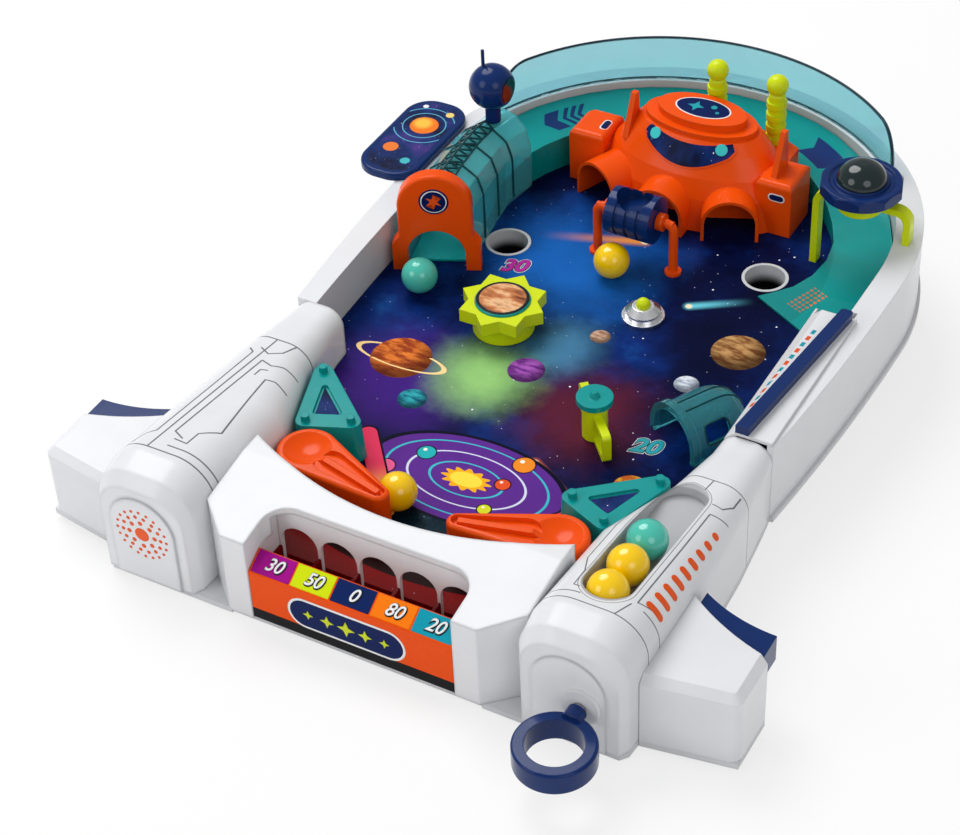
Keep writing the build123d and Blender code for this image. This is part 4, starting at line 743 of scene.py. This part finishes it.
# round bar along every run of edges
tubes = Grower("tubeAlongPath")
tubeRadius = tubes.size("Radius")
tubePath = tubes.ink.node("GeometryNodeMeshToCurve", None, {0: tubes.ink})
tubeSection = tubes.ink.node("GeometryNodeCurvePrimitiveCircle", None, {
    "Resolution": 8, "Radius": tubeRadius})
tubes.close(tubePath.node("GeometryNodeCurveToMesh", None, {0: tubePath, 1: tubeSection, "Fill Caps": True}))

# round coil
coils = Grower("wireCoil")
coilTurns, coilRadius, coilLength, wireRadius = (coils.size(n) for n in ("Turns", "Radius", "Length", "Wire"))
coilPath = coils.ink.node("GeometryNodeCurveSpiral", None, {
    "Resolution": 24, "Rotations": coilTurns, "Height": coilLength,
    "Start Radius": coilRadius, "End Radius": coilRadius})
coilSection = coils.ink.node("GeometryNodeCurvePrimitiveCircle", None, {
    "Resolution": 10, "Radius": wireRadius})
coils.close(coilPath.node("GeometryNodeCurveToMesh", None, {0: coilPath, 1: coilSection, "Fill Caps": True}))

# ring of small round dots
dots = Grower("dotRing")
dotCount = dots.size("Count", "NodeSocketInt")
dotReach, dotRadius = dots.size("Reach"), dots.size("Dot")
dotRing = dots.ink.node("GeometryNodeMeshCircle", None, {"Vertices": dotCount, "Radius": dotReach})
dotDisc = dots.ink.node("GeometryNodeMeshCylinder", None, {
    "Vertices": 20, "Radius": dotRadius, "Depth": 0.24})
dots.close(dotRing.node("GeometryNodeInstanceOnPoints", None, {"Points": dotRing, "Instance": dotDisc}))


def paths(*runs):
    # a mesh of plain edges along runs of world points
    points, edges = [], []
    for run in runs:
        edges += [(len(points) + i, len(points) + i + 1) for i in range(len(run) - 1)]
        points += run
    mesh = bpy.data.meshes.new("paths")
    mesh.from_pydata(points, edges, [])
    return mesh


print("tools ready")

inkWhite = moulded("inkWhite", srgb(238, 240, 242), 0.35)
inkBlack = moulded("inkBlack", black, 0.4)
inkNavy = moulded("inkNavy", srgb(10, 30, 84), 0.3, shine=0.06)
inkOrange = moulded("inkOrange", srgb(232, 84, 14), 0.35)
inkLime = moulded("inkLime", srgb(206, 220, 20), 0.35)
inkTeal = moulded("inkTeal", srgb(16, 156, 168), 0.35)
inkPurple = moulded("inkPurple", srgb(176, 20, 150), 0.35)
nightInk = moulded("nightInk", srgb(10, 20, 60), 0.3, paint=nightSky, shine=0.06)

# score labels on the sloping top of the tray: text and colour for each
# a numeral and its shade: shift, thickness and fattening
tray = {"pitch": 19.68, "depth": (0.9, 9.7), "low": 31.0, "rise": 5.9, "slope": (0.3, 10.0), "gap": 0.7,
        "round": 0.3, "scores": (("30", (160, 10, 134)), ("50", (206, 222, 12)), ("0", (10, 34, 90)),
                                 ("80", (246, 122, 8)), ("20", (14, 150, 172))),
        "size": 8.2, "lean": 0.3, "shade": ((0.2, -0.2, 0.2), 0.05, 0.5),
        "number": ((0.0, 0.0, 0.32), 0.06, 0.12)}
slopeLong = tray["slope"][1] - tray["slope"][0]
slopeAngle = math.atan2(tray["rise"], slopeLong)
labelMid = sum(tray["depth"]) / 2
labelHeight = tray["low"] + tray["rise"] * (labelMid - tray["slope"][0]) / slopeLong
labelLong = (tray["depth"][1] - tray["depth"][0]) / math.cos(slopeAngle)
for i, (text, rgb) in enumerate(tray["scores"]):
    x = (i - (len(tray["scores"]) - 1) / 2) * tray["pitch"]
    place = facing((x, labelMid, labelHeight), (1, 0, 0), (0, math.cos(slopeAngle), math.sin(slopeAngle)))
    labelInk = moulded("labelInk%d" % i, srgb(*rgb), 0.35, shine=0.1)
    outline = stadium(tray["pitch"] - tray["gap"], labelLong, tray["round"])
    sticker("score_label_%d" % (i + 1), "score_tray", outline, place, labelInk)
    for kind, ink in (("shade", inkBlack), ("number", inkWhite)):
        shift, thick, fatten = tray[kind]
        figure = numeral(text, tray["size"], place @ Matrix.Translation(shift), thick, fatten, tray["lean"])
        gather("score_%s_%d" % (kind, i + 1), [figure], ink)

# dark plate on the tray front, with a row of plain stars
plate = {"centre": (-2.0, 0.3, 18.0), "width": 58.0, "height": 17.0, "border": 1.2, "stars": 5, "pitch": 9.4,
         "star": 4.4, "shrink": 0.9, "waist": 0.4}
place = facing(plate["centre"], (1, 0, 0), (0, 0, 1))
for name, inset, lift, ink in (("plate_border", 0.0, 0.1, inkWhite),
                               ("plate_face", plate["border"], 0.2, inkNavy)):
    width, height = plate["width"] - 2 * inset, plate["height"] - 2 * inset
    sticker(name, "score_tray", stadium(width, height, height / 2), place, ink, lift)


def star(tip, root, count, x=0.0, y=0.0, turn=90.0):
    points = []
    for i in range(2 * count):
        a = math.radians(turn + 180.0 * i / count)
        r = root if i % 2 else tip
        points.append((x + r * math.cos(a), y + r * math.sin(a)))
    return points


row = []
for i in range(plate["stars"]):
    step = i - (plate["stars"] - 1) / 2
    size = plate["star"] - plate["shrink"] * abs(step)
    outline = star(size, size * plate["waist"], 4, step * plate["pitch"])
    row.append(laidOn("score_tray", outline, place, 0.3, cell=sheets["flatCell"]))
gather("plate_stars", row, inkLime)
print("tray dressed")

# sun of dots on the left corner's front panel
sunDots = {"centre": (-103.5, -1.2, 31.0), "disc": 3.6,
           "rings": ((8, 6.6, 1.15), (14, 9.8, 0.95), (20, 12.8, 0.75))}    # count, reach, dot
place = facing(sunDots["centre"], (1, 0, 0), (0, 0, 1))
emptyMesh = bpy.data.meshes.new("empty")
sunMeshes = [laidOn("left_booster", circle(sunDots["disc"]), place, cell=sheets["flatCell"])]
for count, reach, dot in sunDots["rings"]:
    ring = dots.mesh(emptyMesh, inkOrange, Count=count, Reach=reach, Dot=dot)
    ring.transform(place)
    sunMeshes.append(ring)
gather("corner_sun", sunMeshes, inkOrange)

# row of orange bars on the right corner's outer shoulder
bars = {"count": 9, "start": 36.0, "pitch": 7.2, "long": (10.5, 4.0), "wide": 3.4, "x": 123.6, "h": 53.0,
        "fall": 0.14}
barMeshes = []
for i in range(bars["count"]):
    y = bars["start"] + bars["pitch"] * i
    long = bars["long"][0] + (bars["long"][1] - bars["long"][0]) * i / (bars["count"] - 1)
    spot = (bars["x"], y, bars["h"] - bars["fall"] * (y - bars["start"]))
    place = facing(spot, (0, 1, -bars["fall"]), (-0.7, 0.0, 0.7))
    barMeshes.append(laidOn("right_booster", stadium(bars["wide"], long, bars["wide"] / 2 - 0.05), place))
gather("shoulder_bars", barMeshes, inkOrange)
print("corners dressed")

# station: oval on top, window band with two lamps, small side plates given as place, across and up;
# the band's lower and upper edges as height and bend, its ends as reach and height
station = {"top": (-3.0, 356.0, 66.8), "oval": 15.0, "squeeze": 0.56, "border": 0.8,
           "window": (-2.6, 335.0, 54.6), "windowUp": (0, 0.54, 0.84), "half": 23.0,
           "lower": (-8.2, 9.4), "upper": (3.6, 5.0), "ends": (2.0, 5.0), "lamp": 3.0, "lampAt": (18.2, 4.3),
           "plate": (9.0, 4.6, 2.2), "plateFace": (0.84, 0.7), "thick": 0.15,
           "left": ((-52.6, 345.4, 50.0), (0, 1, 0), (-1, 0, 0)),
           "right": ((47.6, 334.0, 41.0), (1, 0, 0), (0, 0, 1))}
place = facing(station["top"], (1, 0, 0), (0, 1, 0))
outline = circle(station["oval"], 64, 0, 0, station["squeeze"])
sticker("station_oval", "station", outline, place, inkWhite, 0.1, station["thick"])
outline = circle(station["oval"] - station["border"], 64, 0, 0, station["squeeze"] - 0.02)
sticker("station_oval_face", "station", outline, place, inkNavy, 0.22, station["thick"])
ovalMarks = (star(4.6, 1.9, 4, -4.0, 0.0), circle(1.6, 24, 5.0, 2.4), circle(1.0, 24, 8.4, -1.6))
markMeshes = [laidOn("station", mark, place, 0.32, cell=sheets["flatCell"]) for mark in ovalMarks]
gather("station_oval_marks", markMeshes, inkTeal)
place = facing(station["window"], (1, 0, 0), station["windowUp"])


def smile(half, grow):
    (low, lowBend), (high, highBend), (reach, tip) = station["lower"], station["upper"], station["ends"]
    shares = [i / 16 - 1 for i in range(33)]
    lower = [(half * s, low - grow + lowBend * s * s) for s in shares]
    upper = [(half * s, high + grow + highBend * s * s) for s in reversed(shares)]
    return lower + [(half + grow + reach, tip)] + upper + [(-half - grow - reach, tip)]


windowFrame = laidOn("station", smile(station["half"], 0.9), place, 0.25, 0.4)
gather("station_window_frame", [windowFrame], orangeGloss)
window = laidOn("station", smile(station["half"] - 0.6, 0.0), place, 0.32, 0.3)
gather("station_window", [window], nightInk)
lampX, lampY = station["lampAt"]
lampDiscs = [circle(station["lamp"], 32, side * lampX, lampY) for side in (-1, 1)]
lampMeshes = [laidOn("station", disc, place, 0.7, 0.5) for disc in lampDiscs]
gather("station_lamps", lampMeshes, moulded("lampTeal", srgb(60, 200, 200), 0.1, 0.4))
for side in ("left", "right"):
    place = facing(*station[side])
    outline = stadium(*station["plate"])
    wide, high = station["plateFace"]
    name = "station_plate_" + side
    sticker(name + "_edge", "station", outline, place, inkWhite, 0.1, station["thick"])
    face = [(wide * u, high * v) for u, v in outline]
    sticker(name + "_face", "station", face, place, inkNavy, 0.22, station["thick"])
print("station dressed")

# round badge on the tunnel arch
portal = {"centre": (-92.0, 237.0, 18.8), "turn": 24.6, "front": 3.5, "up": 41.5, "radius": 7.4, "thick": 0.2}
turn = math.radians(portal["turn"])
across, out = Vector((math.cos(turn), math.sin(turn), 0)), Vector((math.sin(turn), -math.cos(turn), 0))
spot = Vector(portal["centre"]) + out * portal["front"] + Vector((0, 0, portal["up"]))
place = facing(spot, across, (0, 0, 1))
layers = (("rim", circle(portal["radius"]), inkNavy), ("ring", circle(portal["radius"] - 0.9), inkWhite),
          ("face", circle(portal["radius"] - 1.5), inkNavy), ("star", star(4.4, 1.7, 6), inkOrange))
for layer, (kind, outline, ink) in enumerate(layers):
    sticker("arch_badge_" + kind, "tunnel_portal", outline, place, ink, 0.1 * (layer + 1), portal["thick"])

# dark pane on the lookout's flat side
pane = {"radius": 6.6, "corners": 8, "lift": 0.3, "thick": 0.5, "near": 0.00002}
lookout = nodes["lookout_head"].data
flatX = max(v.co.x for v in lookout.vertices)
flatSpots = [v.co for v in lookout.vertices if v.co.x > flatX - pane["near"]]
flatMid = sum(flatSpots, Vector()) / len(flatSpots)
place = facing(deckPlace.inverted() @ flatMid, (0, 1, 0), (0, 0, 1))
paneBlack = moulded("paneBlack", srgb(8, 12, 24), 0.06, 0.4)
outline = circle(pane["radius"], pane["corners"])
sticker("lookout_pane", "lookout_head", outline, place, paneBlack, pane["lift"], pane["thick"])

# starry stickers in the slings
sling = {"points": ((85.87, 121.03), (75.11, 88.0), (55.94, 96.06)), "top": 37.6, "share": 0.56}
midX, midY = (sum(p[i] for p in sling["points"]) / 3 for i in (0, 1))
for side, name in ((1, "right_sling"), (-1, "left_sling")):
    outline = [(side * (x - midX) * sling["share"], (y - midY) * sling["share"]) for x, y in sling["points"]]
    if side > 0:
        outline.reverse()
    place = facing((side * midX, midY, sling["top"]), (1, 0, 0), (0, 1, 0))
    sticker(name + "_sticker", name, outline, place, nightInk)
print("badges on")

# plain score numbers on the playfield: x, y, turn and colour for each
fieldNumbers = {"marks": {"30": (-58.0, 253.0, 21.0, inkPurple), "20": (60.0, 159.5, 13.0, inkTeal)},
                "h": 18.8, "size": 13.0, "lean": 0.3, "thick": 0.03, "lift": 0.06, "gap": 0.08}
for text, (x, y, angle, ink) in fieldNumbers["marks"].items():
    turn = math.radians(angle)
    c, s = math.cos(turn), math.sin(turn)
    place = facing((x, y, fieldNumbers["h"]), (c, s, 0), (-s, c, 0))
    # kind, fattening, ink
    layers = (("edge", 1.1, inkWhite), ("line", 0.75, inkBlack), ("number", 0.45, ink))
    for layer, (kind, fatten, layerInk) in enumerate(layers):
        lifted = place @ Matrix.Translation((0, 0, fieldNumbers["lift"] + fieldNumbers["gap"] * layer))
        figure = numeral(text, fieldNumbers["size"], lifted, fieldNumbers["thick"], fatten,
                         fieldNumbers["lean"])
        gather("field_%s_%s" % (kind, text), [figure], layerInk)

# dark edge lines of the clear screen
screen = {"middle": 297.0, "radius": 119.0, "low": 43.8, "high": 68.6, "start": 38.0, "end": 159.0,
          "corner": 18.0, "foot": 1.2, "steps": 120, "topLine": 0.0007, "footLine": 0.0005}
topRun, footRun = [], []
for i in range(screen["steps"] + 1):
    angle = screen["start"] + (screen["end"] - screen["start"]) * i / screen["steps"]
    c, s = math.cos(math.radians(angle)), math.sin(math.radians(angle))
    near = math.radians(min(angle - screen["start"], screen["end"] - angle)) * screen["radius"]
    short = max(screen["corner"] - near, 0.0)
    drop = screen["corner"] - math.sqrt(max(screen["corner"] ** 2 - short ** 2, 0.0))
    topSpot = (screen["radius"] * c, screen["middle"] + screen["radius"] * s, screen["high"] - drop)
    topRun.append(onDeck(*topSpot))
    footRadius = screen["radius"] + screen["foot"]
    footRun.append(onDeck(footRadius * c, screen["middle"] + footRadius * s, screen["low"]))
edgeDark = moulded("edgeDark", srgb(10, 44, 60), 0.3)
gather("screen_top_edge", [tubes.mesh(paths(topRun), edgeDark, Radius=screen["topLine"])], edgeDark)
gather("screen_foot_edge", [tubes.mesh(paths(footRun), edgeDark, Radius=screen["footLine"])], edgeDark)

# ribs over the tunnel and the truss along its top
tunnel = {"axis": ((-93.4, 240.2), (-95.6, 253.0), (-98.0, 270.0), (-100.4, 289.0), (-100.6, 303.0),
                   (-98.6, 318.0)), "base": 27.0, "outside": 60.0, "wall": 18.0, "lift": 0.0002,
          "ribs": (0.3, 0.55, 0.8), "rib": 0.0006, "ribFrom": -20, "ribTurn": 220, "ribSteps": 44,
          "bar": 0.0005, "rise": 3.4, "bays": 9, "trussFrom": 0.1, "trussLong": 0.72, "spread": 9}


def tunnelAt(share):
    axis = [Vector(p) for p in tunnel["axis"]]
    lengths = [(b - a).length for a, b in zip(axis, axis[1:])]
    left = share * sum(lengths)
    for a, b, length in zip(axis, axis[1:], lengths):
        if left <= length or b is axis[-1]:
            way = (b - a).normalized()
            return a + way * left, Vector((way.y, -way.x))
        left -= length


def tunnelSkin(spot, side, angle):
    # point on the tunnel's outside, at an angle round its axis
    way = Vector((side.x * math.cos(angle), side.y * math.cos(angle), math.sin(angle)))
    middle = Vector((spot.x, spot.y, tunnel["base"]))
    start = deckPlace @ (middle + way * tunnel["outside"])
    outward = (start - deckPlace @ middle).normalized()
    hit = skin("tunnel").ray_cast(start, -outward)[0]
    return (hit if hit else deckPlace @ (middle + way * tunnel["wall"])) + outward * tunnel["lift"]


ribRuns = []
ribSteps = tunnel["ribSteps"]
ribAngles = [math.radians(tunnel["ribFrom"] + tunnel["ribTurn"] * i / ribSteps) for i in range(ribSteps + 1)]
for share in tunnel["ribs"]:
    spot, side = tunnelAt(share)
    ribRuns.append([tunnelSkin(spot, side, angle) for angle in ribAngles])
ribDark = moulded("ribTeal", srgb(6, 62, 68), 0.2)
gather("tunnel_ribs", [tubes.mesh(paths(*ribRuns), ribDark, Radius=tunnel["rib"])], ribDark)
railsLow, railTop, trussRuns = ([], []), [], []
rise = deckTurn.to_3x3() @ Vector((0, 0, 1)) * 0.001 * tunnel["rise"]
for i in range(tunnel["bays"] + 1):
    spot, side = tunnelAt(tunnel["trussFrom"] + tunnel["trussLong"] * i / tunnel["bays"])
    leans = (-tunnel["spread"], tunnel["spread"])
    feet = [tunnelSkin(spot, side, math.radians(90 + lean)) for lean in leans]
    ridge = (feet[0] + feet[1]) / 2 + rise
    for rail, foot in zip(railsLow, feet):
        rail.append(foot)
    railTop.append(ridge)
    if i:
        trussRuns += [[foot, top] for top in railTop[-2:] for foot in feet]
trussPaths = paths(*railsLow, railTop, *trussRuns)
gather("tunnel_truss", [tubes.mesh(trussPaths, ribDark, Radius=tunnel["bar"])], ribDark)

# ridges over the helmet, a line behind its brow and a frame round its window, given as stadium's sizes
helmet = {"place": (71.0, 164.8, 18.8), "turn": -29.4, "radius": 16.0, "leg": 5.6, "back": 22.0, "brow": 4.2,
          "ridge": 3.4, "window": (13.0, 9.0, 2.0, 15.0, 12.1, 4), "wire": 0.00042, "lift": 0.1}


def onHelmet(across, along, high):
    turn = math.radians(helmet["turn"])
    x, y, base = helmet["place"]
    return onDeck(x + across * math.cos(turn) - along * math.sin(turn),
                  y + across * math.sin(turn) + along * math.cos(turn), base + high)


def helmetSide(along, high):
    over = max(high - helmet["leg"], 0.0)
    return onHelmet(math.sqrt(helmet["radius"] ** 2 - over ** 2) + helmet["lift"], along, high)


arc = [math.pi * i / 32 for i in range(33)]
reach = helmet["radius"] + helmet["lift"]
browRun = [onHelmet(reach * math.cos(a), helmet["brow"], helmet["leg"] + reach * math.sin(a)) for a in arc]
helmetRuns = [browRun]
for across in (-helmet["ridge"], helmet["ridge"]):
    crown = math.sqrt(reach ** 2 - across ** 2)
    ridgeRun = [onHelmet(across, helmet["brow"], helmet["leg"] + crown)]
    ridgeRun += [onHelmet(across, helmet["back"] + crown * math.sin(a), helmet["leg"] + crown * math.cos(a))
                 for a in arc[:14]]
    helmetRuns.append(ridgeRun)
corners = stadium(*helmet["window"])
frameRun = []
for start, end in zip(corners, corners[1:] + corners[:1]):
    frameRun += [helmetSide(*Vector(start).lerp(end, i / 6)) for i in range(6)]
helmetRuns.append(frameRun + frameRun[:1])
gather("helmet_lines", [tubes.mesh(paths(*helmetRuns), ribDark, Radius=helmet["wire"])], ribDark)
print("screen, tunnel and helmet dressed")

# coil springs for the plunger and the triggers:
# x, height, front end, back end, radius, turns, joint, travel
springs = {"plunger_spring": (110.0, 27.8, 6.8, 44.0, 5.2, 9.0, "plunger_pull", 22.0),
           "right_trigger_spring": (149.5, 21.5, 18.1, 38.0, 4.2, 6.0, "right_trigger_pull", 6.0),
           "left_trigger_spring": (-149.5, 21.5, 18.1, 38.0, 4.2, 6.0, "left_trigger_pull", 6.0)}
springWire = 0.6
springSteel = metal("springSteel", srgb(172, 174, 178), 0.2)
for name, (x, h, front, back, radius, turns, joint, travel) in springs.items():
    long = back - front - 2 * springWire
    coil = coils.mesh(emptyMesh, springSteel, Turns=turns, Radius=radius, Length=long, Wire=springWire)
    spot = Matrix.Translation((x, front + springWire, h))
    coil.transform(deckPlace @ spot @ Matrix.Rotation(math.radians(-90), 4, "X"))
    piece = gather(name + "_coil", [coil], springSteel)
    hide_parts(name)
    tuple(deckTurn.to_3x3() @ Vector((0, 1, 0)))
    tuple(onDeck(x, front, h))
    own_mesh(piece)
print("springs in")

# pale floor, soft light and the photograph's camera; lights as place, size and power
stage = {"floor": 60.0, "floorGrey": 0.9, "floorGlow": 0.72, "sky": 0.42, "target": (0.0, 0.0, 0.05),
         "lights": {"key": ((-0.9, 0.4, 1.7), 1.3, 25.5), "fill": ((1.4, -1.2, 1.2), 1.2, 7.0),
                    "front": ((-0.9, -1.4, 0.9), 1.0, 6.5)},
         "camera": (0.4123, -0.8252, 0.6902), "lens": 89.7, "sensor": 36.0,
         "right": (0.875, 0.484, 0.0), "up": (-0.289, 0.522, 0.803), "back": (0.3885, -0.7024, 0.5964)}


def seenBy(tree, *kinds):
    # 1 for rays of these kinds
    rays = tree.nodes.new("ShaderNodeLightPath")
    seen = Ink(tree, rays.outputs[kinds[0]])
    for kind in kinds[1:]:
        seen = seen | Ink(tree, rays.outputs[kind])
    return seen


floorMesh = bpy.data.meshes.new("floor")
half = stage["floor"] / 2
floorCorners = [(-half, -half, 0), (half, -half, 0), (half, half, 0), (-half, half, 0)]
floorMesh.from_pydata(floorCorners, [], [(0, 1, 2, 3)])
floorObject = bpy.data.objects.new("floor", floorMesh)
bpy.context.scene.collection.objects.link(floorObject)
floorFinish = bpy.data.materials.new("floorWhite")
floorFinish.use_nodes = True
floorTree = floorFinish.node_tree
floorStart = Ink(floorTree)
seen = seenBy(floorTree, "Is Camera Ray", "Is Glossy Ray", "Is Transmission Ray")
matt = floorStart.node("ShaderNodeBsdfDiffuse", None, {"Color": (stage["floorGrey"],) * 3 + (1.0,)})
glow = floorStart.node("ShaderNodeEmission", None, {"Color": (1.0, 1.0, 1.0, 1.0), "Strength": 1.0})
mixed = floorStart.node("ShaderNodeMixShader", None, {0: seen * stage["floorGlow"], 1: matt, 2: glow})
floorTree.links.new(mixed.socket, floorTree.nodes["Material Output"].inputs[0])
floorMesh.materials.append(floorFinish)

# the sky is white where it is seen and dimmer where it lights
world = bpy.data.worlds.new("studio")
bpy.context.scene.world = world
world.use_nodes = True
sky = world.node_tree.nodes["Background"]
sky.inputs[0].default_value = (1.0, 1.0, 1.0, 1.0)
seen = seenBy(world.node_tree, "Is Camera Ray", "Is Transmission Ray")
world.node_tree.links.new((seen * (1.0 - stage["sky"]) + stage["sky"]).socket, sky.inputs[1])

for name, (place, size, power) in stage["lights"].items():
    lamp = bpy.data.lights.new(name, "AREA")
    lamp.energy, lamp.shape, lamp.size = power, "DISK", size
    item = bpy.data.objects.new(name, lamp)
    item.location = place
    item.rotation_euler = (Vector(stage["target"]) - Vector(place)).to_track_quat("-Z", "Y").to_euler()
    bpy.context.scene.collection.objects.link(item)

eye = bpy.data.cameras.new("eye")
eye.lens, eye.sensor_width, eye.sensor_fit = stage["lens"], stage["sensor"], "HORIZONTAL"
eyeObject = bpy.data.objects.new("eye", eye)
turn = Matrix((stage["right"], stage["up"], stage["back"])).transposed()
eyeObject.matrix_world = Matrix.Translation(stage["camera"]) @ turn.to_4x4()
bpy.context.scene.collection.objects.link(eyeObject)
bpy.context.scene.camera = eyeObject
bpy.context.scene.view_settings.view_transform = "Standard"
print("stage set")
